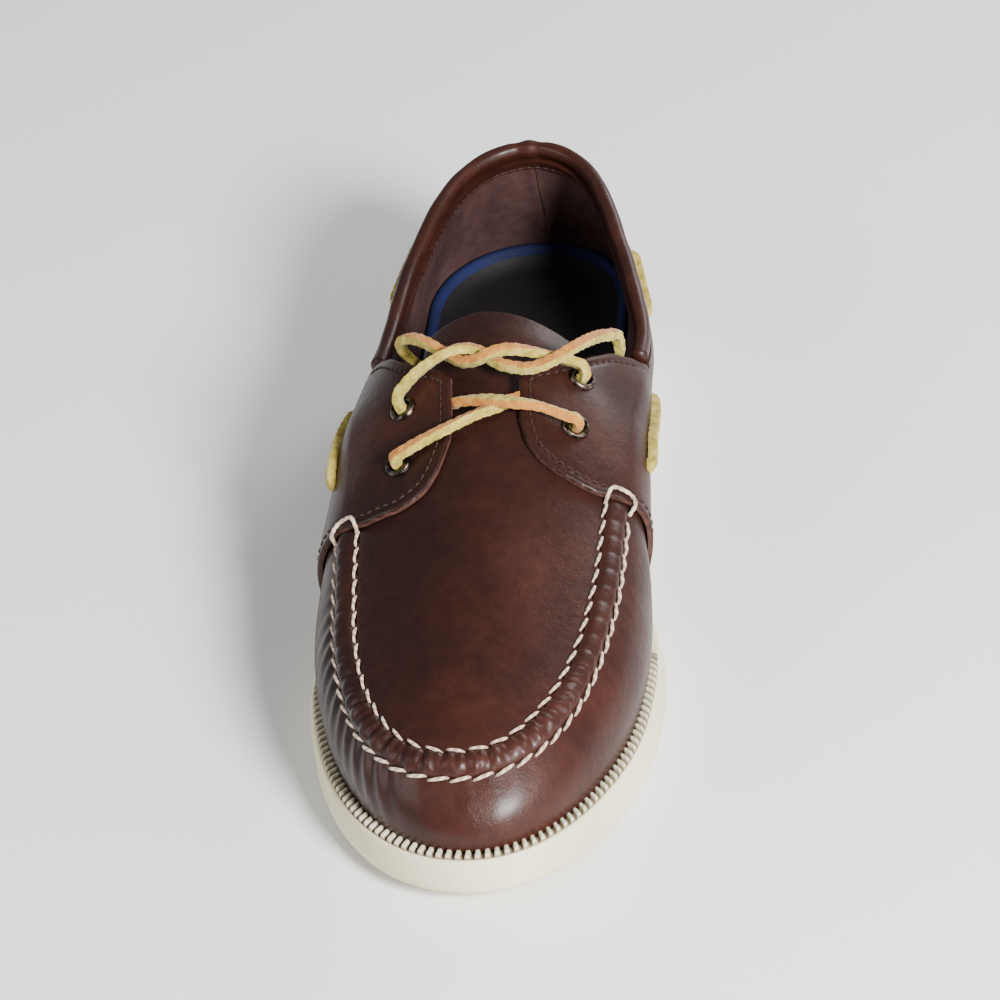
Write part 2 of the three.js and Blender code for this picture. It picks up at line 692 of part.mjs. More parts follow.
// Routes of the laces over the arch: q across, at along, and the height of the lace's middle
const laceCrossUnder = [
  [-0.58, 0.606, 6.1],
  [-0.5, 0.602, 5.8],
  [-0.39, 0.593, 4.8],
  [-0.22, 0.582, 4.2],
  [-0.04, 0.567, 3.2],
  [0.1, 0.555, 2.3],
  [0.17, 0.546, 1.4],
  [0.22, 0.54, 0.7],
];
const laceCrossOver = [
  [0.64, 0.559, 6.1],
  [0.57, 0.559, 5.7],
  [0.48, 0.557, 5.5],
  [0.36, 0.555, 5.4],
  [0.23, 0.556, 5.5],
  [0.1, 0.553, 4.7],
  [-0.02, 0.548, 3.0],
  [-0.1, 0.545, 1.9],
  [-0.17, 0.543, 1.3],
];
const laceLateral = [
  [-0.57, 0.534, 6.1],
  [-0.54, 0.522, 6.2],
  [-0.44, 0.506, 5.9],
  [-0.32, 0.497, 6.3],
  [-0.2, 0.492, 7.2],
  [-0.1, 0.488, 6.4],
  [-0.01, 0.489, 4.8],
  [0.07, 0.496, 3.3],
  [0.15, 0.504, 3.6],
  [0.29, 0.508, 4.8],
  [0.38, 0.505, 6.6],
  [0.46, 0.495, 8.4],
  [0.54, 0.475, 8.8],
  [0.62, 0.45, 7.2],
  [0.7, 0.424, 5.6],
  [0.75, 0.409, 4.8],
  [0.78, 0.396, 4.3],
  [0.81, 0.388, 3.0],
  [0.87, 0.385, -0.2],
  [0.91, 0.383, -4.0],
  [0.94, 0.382, -8.0],
];
const laceMedial = [
  [0.66, 0.489, 6.2],
  [0.61, 0.483, 5.8],
  [0.54, 0.481, 4.7],
  [0.44, 0.482, 4.5],
  [0.32, 0.485, 5.2],
  [0.18, 0.491, 6.9],
  [0.07, 0.498, 7.1],
  [-0.02, 0.503, 5.7],
  [-0.12, 0.499, 3.8],
  [-0.19, 0.491, 3.4],
  [-0.26, 0.482, 4.1],
  [-0.36, 0.467, 5.3],
  [-0.46, 0.453, 5.8],
  [-0.56, 0.442, 5.0],
  [-0.63, 0.436, 2.2],
  [-0.66, 0.433, -3],
  [-0.67, 0.431, -10],
];
const sideStretches = [
  { name: "side_lace_lateral_front", side: -1, from: 0.43, to: 0.57, up: 0.8 },
  { name: "side_lace_lateral_rear", side: -1, from: 0.13, to: 0.23, up: 0.88 },
  { name: "side_lace_medial_front", side: 1, from: 0.4, to: 0.55, up: 0.78 },
  { name: "side_lace_medial_rear", side: 1, from: 0.13, to: 0.23, up: 0.7 },
];

function laceCross() {
  const under = toManifold(lace(laceCrossUnder, 14));
  return fromManifold(under.add(toManifold(lace(laceCrossOver, 14))));
}

function mesh(name, geometry, { color, roughness, metalness = 0 }) {
  const made = new THREE.Mesh(geometry, new THREE.MeshStandardMaterial({ color, roughness, metalness }));
  made.name = name;
  return made;
}

const leather = { color: 0x4b2d26, roughness: 0.45 };
const lining = { color: 0x4a3028, roughness: 0.8 };
const rubber = { color: 0xdedbc8, roughness: 0.75 };
const hide = { color: 0xc8904f, roughness: 0.8 };
const darkMetal = { color: 0x2b2622, roughness: 0.35, metalness: 1 };
const blueFoam = { color: 0x19234b, roughness: 0.8 };

const shoe = new THREE.Group();
const punched = toManifold(upper()).subtract(holesFor(-1)).subtract(holesFor(1));
shoe.add(mesh("outsole", outsole(), rubber));
shoe.add(mesh("toe_ribs", toeRibs(), rubber));
shoe.add(mesh("upper", fromManifold(punched), leather));
shoe.add(mesh("quarter_lateral", quarter(-1), leather));
shoe.add(mesh("quarter_medial", quarter(1), leather));
shoe.add(mesh("seam_roll", seamRoll(), leather));
shoe.add(mesh("collar_roll", collarRoll(), leather));
shoe.add(mesh("tongue", tongue(), leather));
shoe.add(mesh("insole", insole(), blueFoam));
eyelets.forEach((place) => shoe.add(mesh(place.name, eyelet(place), darkMetal)));
shoe.add(mesh("lace_cross", laceCross(), hide));
shoe.add(mesh("lace_end_lateral", lace(laceLateral, 32), hide));
shoe.add(mesh("lace_end_medial", lace(laceMedial, 32), hide));
sideStretches.forEach(({ name, side, from, to, up }) => {
  const lift = overlayGap + overlayThickness + clearance + laceThickness / 2;
  const route = [from, mix(from, to, 0.33), mix(from, to, 0.67), to].map((at) => [at, up, lift]);
  shoe.add(mesh(name, sideLace(side, route, 10), hide));
});

// The origin goes to the middle of the shoe's length and width, without the laces' free ends
const whole = new THREE.Box3();
shoe.children.filter(({ name }) => !name.startsWith("lace_end")).forEach((piece) => whole.expandByObject(piece));
shoe.position.set(-(whole.min.x + whole.max.x) / 2, -(whole.min.y + whole.max.y) / 2, 0);

export default shoe;
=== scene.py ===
"""A two-eye leather boat shoe for the right foot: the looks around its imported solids.

Lengths are millimetres in the shoe's own frame, toe towards -Y and medial side towards +X, until
a piece is made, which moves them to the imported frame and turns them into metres. The floor and
the lights are placed in metres.
"""

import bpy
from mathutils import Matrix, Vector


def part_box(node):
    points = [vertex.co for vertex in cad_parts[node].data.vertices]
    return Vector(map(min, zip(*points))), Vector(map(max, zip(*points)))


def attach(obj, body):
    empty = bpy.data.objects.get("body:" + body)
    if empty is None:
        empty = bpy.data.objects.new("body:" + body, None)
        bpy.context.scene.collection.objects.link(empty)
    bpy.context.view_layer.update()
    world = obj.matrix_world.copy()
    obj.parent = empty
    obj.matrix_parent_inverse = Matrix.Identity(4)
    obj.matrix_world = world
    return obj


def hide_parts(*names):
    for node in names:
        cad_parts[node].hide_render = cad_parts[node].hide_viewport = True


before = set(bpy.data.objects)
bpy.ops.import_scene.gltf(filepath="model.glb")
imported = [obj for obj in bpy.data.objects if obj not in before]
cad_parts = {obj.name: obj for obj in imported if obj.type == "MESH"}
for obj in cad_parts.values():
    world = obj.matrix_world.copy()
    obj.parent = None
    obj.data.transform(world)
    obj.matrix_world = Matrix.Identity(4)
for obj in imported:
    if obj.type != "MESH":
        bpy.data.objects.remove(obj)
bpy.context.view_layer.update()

import math

import bmesh
import bpy
import numpy as np
from mathutils import Matrix, Vector

# Driving sizes of the shoe, as in its solids
OUTSOLE_LENGTH = 298.0
BALL_WIDTH = 108.0
COLLAR_HEIGHT = 70.0
CROWN_HEIGHT = 84.0
SOLE_HEEL_HEIGHT = 24.0
WALL_THICKNESS = 2.0
OVERLAY_THICKNESS = 1.8
OVERLAY_GAP = 0.6
CLEARANCE = 0.3
HEEL_SETBACK = 6.0
SEAM_SETBACK = 19.0
TOE_LEDGE = 5.0
SIDE_LEDGE = 2.5
RIB_PITCH = 2.8
RIB_HEIGHT = 1.6
LACE_THICKNESS = 3.2
EYELET_BORE = 2.6
EYELET_FLANGE = 4.4
COLLAR_ROLL_RADIUS = 2.6
SEAM_ROLL_WIDTH = 4.2
SEAM_ROLL_HEIGHT = 2.4
TONGUE_THICKNESS = 2.4
TONGUE_GAP = 1.2
INSOLE_THICKNESS = 4.0
INSOLE_RIM = 2.6
TOP_LENGTH = OUTSOLE_LENGTH - HEEL_SETBACK - SEAM_SETBACK

# Sizes used for the dressed shoe's detail
STITCH_PITCH = 6.4
LACE_SQUARENESS = 7
LACE_STEP = 0.6
PLY_DEPTH = 0.13
FACING_ROW_INSET = 3.2
COLLAR_ROW_DROP = 2.7
QUARTER_HOLE, WALL_HOLE, HOLE_DEPTH = 3.3, 3.7, 9
GROOVE_PITCH, GROOVE_DEPTH, TREAD_SLAB = 6.2, 1.3, 2.2

# A camera fitted to the photograph: degrees, aims in millimetres, distance in metres, lens over sensor
CAMERA_YAW, CAMERA_PITCH, CAMERA_ROLL = 7.59, 36.61, -5.98
CAMERA_AIM, SHOE_AIM = (54.9, -7.3, 30.0), (1.0, 2.0, 32.0)
CAMERA_DISTANCE, LENS_SHARE, SENSOR_WIDTH = 1.053, 3.453, 36


def rows(names, *lines):
    """A table with one column of numbers for each name."""
    return dict(zip(names.split(), np.array(lines, float).T))


outsole_plan = rows(
    "at centre lateral medial",
    (0.0, 0.0, 0.356, 0.335),
    (0.15, 0.005, 0.361, 0.332),
    (0.3, 0.01, 0.361, 0.322),
    (0.42, 0.01, 0.378, 0.31),
    (0.55, 0.015, 0.445, 0.372),
    (0.65, 0.02, 0.495, 0.472),
    (0.73, 0.02, 0.505, 0.495),
    (0.82, 0.025, 0.495, 0.505),
    (1.0, 0.055, 0.49, 0.475),
)
heel_round, toe_round = (0.13, 2.1), (0.34, 2.1)
SIDE_SHARE = SIDE_LEDGE / TOE_LEDGE
ledge_share = rows("at width", (0, SIDE_SHARE), (0.5, SIDE_SHARE), (0.66, 0.9), (1, 1))
sole_profile = rows(
    "at top tread",
    (0.0, 1.0, 0.03),
    (0.05, 1.0, 0.0),
    (0.28, 0.94, 0.0),
    (0.33, 0.91, 0.11),
    (0.45, 0.78, 0.12),
    (0.56, 0.67, 0.0),
    (0.72, 0.57, 0.0),
    (0.8, 0.57, 0.01),
    (0.9, 0.65, 0.09),
    (1.0, 0.78, 0.26),
)
top_plan = rows(
    "at centre lateral medial rise crown lean foot",
    (0.0, 0.0, 0.252, 0.25, 1.01, 1.0, 6, 14),
    (0.08, 0.0, 0.258, 0.258, 0.97, 1.0, 6, 14),
    (0.22, 0.0, 0.332, 0.35, 0.83, 1.02, 8, 12),
    (0.34, -0.004, 0.355, 0.412, 0.77, 1.03, 10, 12),
    (0.43, -0.006, 0.368, 0.415, 0.81, 1.0, 22, 12),
    (0.5, 0.004, 0.384, 0.393, 0.82, 0.93, 36, 12),
    (0.58, 0.018, 0.386, 0.378, 0.77, 0.84, 46, 13),
    (0.66, 0.018, 0.376, 0.368, 0.705, 0.745, 52, 14),
    (0.78, 0.02, 0.362, 0.36, 0.625, 0.65, 52, 14),
    (0.9, 0.026, 0.366, 0.352, 0.567, 0.56, 50, 12),
    (1.0, 0.032, 0.38, 0.352, 0.555, 0.463, 48, 10),
)
collar_round, seam_round = (0.14, 2.0), (0.31, 2.25)
CORNER_AT = 0.385
THROAT_AT = 0.555
SPINE_FRONT = 0.88
SEAM_FROM = {-1: 0.664, 1: 0.631}
RIBS_FROM = 0.68
throat_edge = rows(
    "at reach", (CORNER_AT, 0), (0.46, 0.22), (0.51, 0.58), (THROAT_AT - 0.004, 0.6), (THROAT_AT, 1)
)
quarter_front = rows("up lateral medial", (0, 0.625, 0.6), (0.5, 0.64, 0.612), (1, 0.656, 0.623))
facing_edges = rows(
    "rise top lateral medial",
    (0.0, CORNER_AT, 0.656, 0.623),
    (0.25, 0.42, 0.665, 0.63),
    (0.5, 0.46, 0.665, 0.625),
    (0.75, 0.488, 0.653, 0.612),
    (0.9, 0.5, 0.628, 0.595),
    (1.0, 0.512, 0.59, 0.565),
)
FACING_REACH = {-1: 0.78, 1: 0.74}
insole_edge = rows("at up", (0, 0.22), (0.2, 0.22), (0.38, 0.17), (0.5, 0.15), (1, 0.14))
tongue_ends = {"front": 0.63, "back": 0.405, "round": 0.03, -1: 0.55, 1: 0.64}
eyelet_places = {
    "eyelet_lateral_upper": (-1, 0.534, 1.43),
    "eyelet_lateral_lower": (-1, 0.606, 1.42),
    "eyelet_medial_upper": (1, 0.489, 1.34),
    "eyelet_medial_lower": (1, 0.559, 1.36),
}

# Routes of the laces over the instep: q across, at along, and the lift of the lace's middle
lace_under = (
    (-0.58, 0.606, 1.2), (-0.585, 0.606, 4.0), (-0.56, 0.606, 6.1), (-0.5, 0.602, 5.8),
    (-0.39, 0.593, 4.8), (-0.22, 0.582, 4.2), (-0.04, 0.567, 3.2), (0.1, 0.555, 2.3),
    (0.17, 0.546, 1.4), (0.22, 0.54, 0.7), (0.31, 0.532, 0.4),
)
lace_over = (
    (0.64, 0.559, 1.2), (0.645, 0.559, 4.0), (0.62, 0.559, 6.1), (0.57, 0.559, 5.8),
    (0.48, 0.557, 5.5), (0.36, 0.555, 5.4), (0.23, 0.556, 5.5), (0.1, 0.553, 4.7),
    (-0.02, 0.548, 3.0), (-0.1, 0.545, 1.9), (-0.17, 0.543, 1.1), (-0.2, 0.5415, 0.2),
    (-0.22, 0.5405, -0.5),
)
lace_lateral = (
    (-0.57, 0.534, 1.6), (-0.57, 0.534, 4.2), (-0.56, 0.529, 5.9), (-0.54, 0.522, 6.3),
    (-0.44, 0.506, 5.9), (-0.32, 0.497, 6.3), (-0.2, 0.492, 7.2), (-0.1, 0.488, 6.4),
    (-0.01, 0.489, 4.8), (0.07, 0.496, 3.3), (0.15, 0.504, 3.6), (0.29, 0.508, 4.8),
    (0.38, 0.505, 6.6), (0.46, 0.495, 8.4), (0.54, 0.475, 8.8), (0.62, 0.45, 7.2),
    (0.7, 0.424, 5.6), (0.75, 0.409, 4.8), (0.78, 0.396, 4.3), (0.81, 0.388, 3.0),
    (0.87, 0.385, -0.2), (0.91, 0.383, -4.0), (0.94, 0.382, -8.0),
)
lace_medial = (
    (0.66, 0.489, 1.6), (0.66, 0.489, 4.2), (0.64, 0.486, 5.9), (0.61, 0.483, 6.0),
    (0.54, 0.481, 4.8), (0.44, 0.482, 4.5), (0.32, 0.485, 5.2), (0.18, 0.491, 6.9),
    (0.07, 0.498, 7.1), (-0.02, 0.503, 5.7), (-0.12, 0.499, 3.8), (-0.19, 0.491, 3.4),
    (-0.26, 0.482, 4.1), (-0.36, 0.467, 5.3), (-0.46, 0.453, 5.8), (-0.56, 0.442, 5.0),
    (-0.63, 0.436, 2.2), (-0.66, 0.433, -3), (-0.67, 0.431, -10),
)
side_stretches = {
    "side_lace_lateral_front": (-1, 0.43, 0.57, 0.8),
    "side_lace_lateral_rear": (-1, 0.13, 0.23, 0.88),
    "side_lace_medial_front": (1, 0.4, 0.55, 0.78),
    "side_lace_medial_rear": (1, 0.13, 0.23, 0.7),
}


# The shoe's surface: side is -1 lateral or 1 medial, at runs from heel to toe, up from sole to seam to middle


def along(table, column, at, key="at"):
    """A cubic through a column, each slope the harmonic mean of its neighbours, so it never overshoots."""
    x, y = table[key], table[column]
    slope = np.diff(y) / np.diff(x)
    tangent = np.concatenate([slope[:1], np.zeros(len(x) - 2), slope[-1:]])
    product, total = slope[:-1] * slope[1:], slope[:-1] + slope[1:]
    tangent[1:-1] = np.where(product > 0, 2 * product / np.where(total == 0, 1, total), 0)
    a = np.clip(at, x[0], x[-1])
    k = np.clip(np.searchsorted(x, a, side="right") - 1, 0, len(x) - 2)
    step = (x[1:] - x[:-1])[k]
    f = (a - x[k]) / step
    ends = (2 * f**3 - 3 * f**2 + 1) * y[k] + (3 * f**2 - 2 * f**3) * y[k + 1]
    return ends + (f**3 - 2 * f**2 + f) * step * tangent[k] + (f**3 - f**2) * step * tangent[k + 1]


def round_ends(at, heel, toe):
    """1 along the middle, falling to 0 at each end as a superellipse does."""

    def end(share, reach, power):
        inside = np.maximum(0, 1 - np.abs(1 - np.minimum(share / reach, 1)) ** power)
        return np.where(share >= reach, 1, inside ** (1 / power))

    return end(at, *heel) * end(1 - at, *toe)


def smoothstep(value, low, high):
    """0 at low, 1 at high, and level at both."""
    share = np.clip((value - low) / (high - low), 0, 1)
    return share * share * (3 - 2 * share)


def unit(v):
    """The vectors at length 1."""
    return v / np.maximum(np.linalg.norm(v, axis=-1, keepdims=True), 1e-9)


def half_width(table, side, at):
    """The half width on a side: the table's share of the ball's width."""
    return np.where(side < 0, along(table, "lateral", at), along(table, "medial", at)) * BALL_WIDTH


def sole_top(y):
    """The height of the sole's top: a share of the heel's height."""
    return SOLE_HEEL_HEIGHT * along(sole_profile, "top", 0.5 - y / OUTSOLE_LENGTH)


def sole_tread(y):
    """The height of the tread over the floor: a share of the heel's height."""
    return SOLE_HEEL_HEIGHT * along(sole_profile, "tread", 0.5 - y / OUTSOLE_LENGTH)


def sole_edge(side, at, inset):
    """A point of the sole's outline, moved in all round by inset."""
    half = (half_width(outsole_plan, side, at) - inset) * round_ends(at, heel_round, toe_round)
    x = along(outsole_plan, "centre", at) * BALL_WIDTH + side * half
    return x, OUTSOLE_LENGTH / 2 - inset - at * (OUTSOLE_LENGTH - 2 * inset)


def feather(side, at):
    """The line where the upper meets the sole: the outline less the ledge."""
    x = sole_edge(side, at, TOE_LEDGE * along(ledge_share, "width", at))[0]
    y = OUTSOLE_LENGTH / 2 - SIDE_LEDGE - at * (OUTSOLE_LENGTH - SIDE_LEDGE - TOE_LEDGE)
    return np.stack([x, y, sole_top(y) + CLEARANCE], -1)


def top_y(at):
    """The top line's y, in even steps from the heel to the toe's seam."""
    return OUTSOLE_LENGTH / 2 - HEEL_SETBACK - at * TOP_LENGTH


def crown(at):
    """The height of the arch's middle line: a share of the crown's height."""
    return CROWN_HEIGHT * along(top_plan, "crown", at)


def spine_x(at):
    """The x of the middle line: a share of the ball's width."""
    return BALL_WIDTH * along(top_plan, "centre", at)


def top_line(side, at):
    """The collar's edge, then the seam round the toe."""
    half = half_width(top_plan, side, at) * round_ends(at, collar_round, seam_round)
    return np.stack([spine_x(at) + side * half, top_y(at), COLLAR_HEIGHT * along(top_plan, "rise", at)], -1)


def outward(side, at):
    """The direction in plan square to the feather line, straight back or ahead at its ends."""
    a = feather(side, np.clip(at - 0.004, 0, 1))
    b = feather(side, np.clip(at + 0.004, 0, 1))
    out = unit(np.stack([side * (a[..., 1] - b[..., 1]), side * (b[..., 0] - a[..., 0]), 0 * at], -1))
    out = np.where((at < 0.004)[..., None], [0, 1, 0], out)
    return np.where((at > 0.996)[..., None], [0, -1, 0], out)


def wall(side, at, rise):
    """A cubic Bezier from the feather line up to the top line, leaning out by foot and in by lean."""
    foot, top, out = feather(side, at), top_line(side, at), outward(side, at)
    reach = 0.38 * np.linalg.norm(top - foot, axis=-1)
    low_turn = np.radians(along(top_plan, "foot", at))
    top_turn = np.radians(along(top_plan, "lean", at))
    up = np.array([0, 0, 1.0])
    low = foot + out * (reach * np.sin(low_turn))[..., None] + up * (reach * np.cos(low_turn))[..., None]
    high = top + out * (reach * np.sin(top_turn))[..., None] - up * (reach * np.cos(top_turn))[..., None]
    r = rise[..., None]
    rest = 1 - r
    return rest**3 * foot + 3 * rest**2 * r * low + 3 * rest * r**2 * high + r**3 * top


def arch(side, at, reach):
    """Straight in plan from the top line to the middle line, its height falling off as a parabola."""
    top, spine_at = top_line(side, at), np.minimum(at, SPINE_FRONT)
    x = top[..., 0] + (spine_x(spine_at) - top[..., 0]) * reach
    y = top[..., 1] + (top_y(spine_at) - top[..., 1]) * reach
    here = at + (spine_at - at) * reach
    return np.stack([x, y, crown(here) - (crown(at) - top[..., 2]) * (1 - reach) ** 2], -1)


def spread(*values):
    """The values as arrays of one shape."""
    return np.broadcast_arrays(*[np.asarray(value, float) for value in values])


def skin(side, at, up):
    """The bare upper's outside: the wall where up is at most 1, the arch past that."""
    side, at, up = spread(side, at, up)
    low = wall(side, at, np.minimum(up, 1))
    return np.where((up <= 1)[..., None], low, arch(side, at, np.clip(up - 1, 0, 1)))


def normal(side, at, up):
    """The outward direction: the cross product of a small step up and a small step round."""
    side, at, up = spread(side, at, up)
    step = 0.01
    angle = np.arccos(1 - 2 * np.clip(at, 0, 1)) * side

    def turned(change):
        moved = angle + change
        sign = np.sign(moved * (np.pi - np.abs(moved)))
        return skin(np.where(sign == 0, side, sign), (1 - np.cos(moved)) / 2, np.minimum(up, 1.99))

    lid = np.where((at < CORNER_AT) & (up <= 1), 1, 1.99)
    climb = skin(side, at, np.minimum(up + step, lid)) - skin(side, at, np.maximum(up - step, 0))
    out = unit(np.cross(climb, turned(0.03) - turned(-0.03)))
    spine_at = np.minimum(at, SPINE_FRONT)
    fall = (crown(spine_at + step) - crown(spine_at - step)) / (2 * step * TOP_LENGTH)
    level = unit(np.stack([0 * fall, fall, 0 * fall + 1], -1))
    return np.where((up > 1.99)[..., None], level, out)


def off(side, at, up, distance):
    """A point of the skin moved out along its normal."""
    return skin(side, at, up) + normal(side, at, up) * np.asarray(distance, float)[..., None]


def layer(side, at, up, distance):
    """A point off the skin, level with the sole's top at the foot."""
    side, at, up, distance = spread(side, at, up, distance)
    point = off(side, at, up, distance)
    point[..., 2] = np.where(up <= 0, sole_top(point[..., 1]) + CLEARANCE, point[..., 2])
    return point


def arch_off(q, at, distance):
    """A point off the arch: q is -1 at the lateral top line, 0 in the middle, 1 at the medial."""
    return off(np.where(np.asarray(q) < 0, -1, 1), at, 2 - np.abs(q), distance)


def place_of(angle):
    """The side and at of a turn from the heel by the lateral side."""
    return np.where(angle < np.pi, -1, 1), (1 - np.cos(angle)) / 2


def around(count, start=0.0, stop=2 * np.pi, open_end=True):
    """Places round the shoe by equal turns: heel, lateral side, toe, medial side."""
    return place_of(np.linspace(start, stop, count, endpoint=not open_end))


def collar_arc(count, margin):
    """Turns over the back of the collar from corner to corner, less a margin, with their side and at."""
    limit = np.arccos(1 - 2 * (CORNER_AT - margin))
    angle = np.linspace(-limit, limit, count)
    return angle, np.where(angle < 0, -1, 1), (1 - np.cos(angle)) / 2


def turn_of(side, at):
    """How far round the shoe a place is, from the heel by the lateral side."""
    angle = np.arccos(1 - 2 * np.clip(at, 0, 1))
    return np.where(np.asarray(side) < 0, angle, 2 * np.pi - angle)


# Meshes

outsole_box = [np.array(corner) * 1000 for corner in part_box("outsole")]
outline_x, outline_y = sole_edge(*around(720), 0)
SHIFT = np.array([outsole_box[0][0] - outline_x.min(), outsole_box[0][1] - outline_y.min(), 0.0])


def metres(points):
    """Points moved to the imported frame, in metres."""
    return (np.asarray(points, float) + SHIFT) * 0.001


def piece(name, points, faces, finishes, uv=None, slots=None, sharp=None, stands_for=()):
    """A mesh from points in millimetres and four-cornered faces, with doubles merged, riding on the shoe."""
    mesh = bpy.data.meshes.new(name)
    mesh.from_pydata(metres(points.reshape(-1, 3)).tolist(), [], faces.tolist())
    for finish in finishes:
        mesh.materials.append(finish)
    if slots is not None:
        mesh.polygons.foreach_set("material_index", slots.astype(np.int32))
    if uv is not None:
        mesh.uv_layers.new(name="UVMap").data.foreach_set("uv", uv.reshape(-1).astype(np.float32))
    mesh.polygons.foreach_set("use_smooth", np.ones(len(mesh.polygons), bool))
    solid = bmesh.new()
    solid.from_mesh(mesh)
    bmesh.ops.remove_doubles(solid, verts=solid.verts, dist=2e-6)
    bmesh.ops.dissolve_degenerate(solid, edges=solid.edges, dist=1e-7)
    solid.to_mesh(mesh)
    solid.free()
    mesh.update()
    if sharp:
        mesh.set_sharp_from_angle(angle=math.radians(sharp))
    made = bpy.data.objects.new(name, mesh)
    bpy.context.scene.collection.objects.link(made)
    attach(made, "root")
    for node in stands_for:
        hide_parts(node)
    return made


def tube_faces(rings, corners, closed=False):
    """Faces and their UVs over rings of corners: u along, v round."""
    i, j = np.meshgrid(np.arange(rings if closed else rings - 1), np.arange(corners), indexing="ij")
    i, j = i.ravel(), j.ravel()
    ni, nj = (i + 1) % rings, (j + 1) % corners
    faces = np.stack([i * corners + j, ni * corners + j, ni * corners + nj, i * corners + nj], -1)
    u, v = i / rings, j / corners
    du, dv = 1 / rings, 1 / corners
    uv = np.stack([u, v, u + du, v, u + du, v + dv, u, v + dv], -1).reshape(-1, 4, 2)
    return faces, uv


def ring_faces(points):
    """Faces over columns of points set round a closed turn, and the level that each face is on."""
    count, levels = points.shape[:2]
    i, j = np.meshgrid(np.arange(count), np.arange(levels - 1), indexing="ij")
    i, j = i.ravel(), j.ravel()
    n = (i + 1) % count
    return np.stack([i * levels + j, n * levels + j, n * levels + j + 1, i * levels + j + 1], -1), j


def sheet_faces(keep, closed=False, joined=False):
    """Faces over an outer and an inner grid where keep says so, and a rim round them.

    A rim follows each edge of a kept cell that has no kept neighbour. joined leaves out the top
    row's rim, where the two halves of the grid meet. The third result says which layer a face is on:
    0 outer, 1 inner, 2 rim.
    """
    cells, levels = keep.shape
    columns, count = cells if closed else cells + 1, levels + 1
    i, j = np.nonzero(keep)
    a, b = i * count + j, ((i + 1) % columns) * count + j
    c, d = b + 1, a + 1
    inner = columns * count
    parts = [np.stack([a, b, c, d], -1), np.stack([a, d, c, b], -1) + inner]
    layers = [np.zeros(len(a)), np.ones(len(a))]
    wide = np.pad(keep, ((0, 0), (1, 1)))
    tall = np.concatenate([keep[-1:], keep, keep[:1]]) if closed else np.pad(keep, ((1, 1), (0, 0)))
    sides = [
        (a, b, ~wide[i, j]),
        (b, c, ~tall[i + 2, j]),
        (c, d, ~wide[i, j + 2]),
        (d, a, ~tall[i, j]),
    ]
    if joined:
        sides[2] = (c, d, sides[2][2] & (j < levels - 1))
    for start, end, bare in sides:
        start, end = start[bare], end[bare]
        parts.append(np.stack([end, start, start + inner, end + inner], -1))
        layers.append(np.full(len(start), 2))
    return np.concatenate(parts), np.concatenate(layers)


def run_of(path):
    """The distance along a path to each of its points."""
    return np.concatenate([[0], np.cumsum(np.linalg.norm(np.diff(path, axis=0), axis=1))])


def at_run(run, values, wanted):
    """Values along a path, read off in straight steps at the wanted distances."""
    return np.stack([np.interp(wanted, run, values[:, k]) for k in range(values.shape[1])], -1)


def smooth_path(points, step):
    """A curve through the points, each slope the half of the span over its neighbours, resampled evenly."""
    p = np.asarray(points, float)
    slope = np.gradient(p, axis=0)
    t = np.linspace(0, 1, 12, endpoint=False)[None, :, None]
    a, b, sa, sb = (v[:, None, :] for v in (p[:-1], p[1:], slope[:-1], slope[1:]))
    ends = (2 * t**3 - 3 * t**2 + 1) * a + (3 * t**2 - 2 * t**3) * b
    curve = ends + (t**3 - 2 * t**2 + t) * sa + (t**3 - t**2) * sb
    curve = np.concatenate([curve.reshape(-1, p.shape[1]), p[-1:]])
    run = run_of(curve[:, :3])
    return at_run(run, curve, np.linspace(0, run[-1], max(2, int(run[-1] / step) + 1)))


def carried_up(path, middle, up):
    """A direction square to the path, carried both ways from its middle point without twisting."""
    heading = unit(np.gradient(path, axis=0))
    carried = np.zeros_like(path)
    carried[middle] = up
    for order in (range(middle, len(path)), range(middle, -1, -1)):
        last = np.asarray(up, float)
        for k in order:
            last = last - heading[k] * np.dot(last, heading[k])
            last = last / max(np.linalg.norm(last), 1e-9)
            carried[k] = last
    return heading, carried


def swept(path, up, spin, radius):
    """Rings of points round a path at the turns in spin, each closed to a point at the path's two ends."""
    heading, carried = carried_up(path, len(path) // 2, up)
    across = np.cross(heading, carried)
    end = np.ones((len(path), 1))
    end[[0, -1]] = 0
    ring = carried[:, None] * np.cos(spin)[..., None] + across[:, None] * np.sin(spin)[..., None]
    return path[:, None] + ring * (radius * end)[..., None]


# Finishes


def linear(r, g, b):
    """A colour from 0 to 255 as a screen shows it, in linear light."""

    def one(value):
        share = value / 255
        return share / 12.92 if share <= 0.04045 else ((share + 0.055) / 1.055) ** 2.4

    return (one(r), one(g), one(b), 1)


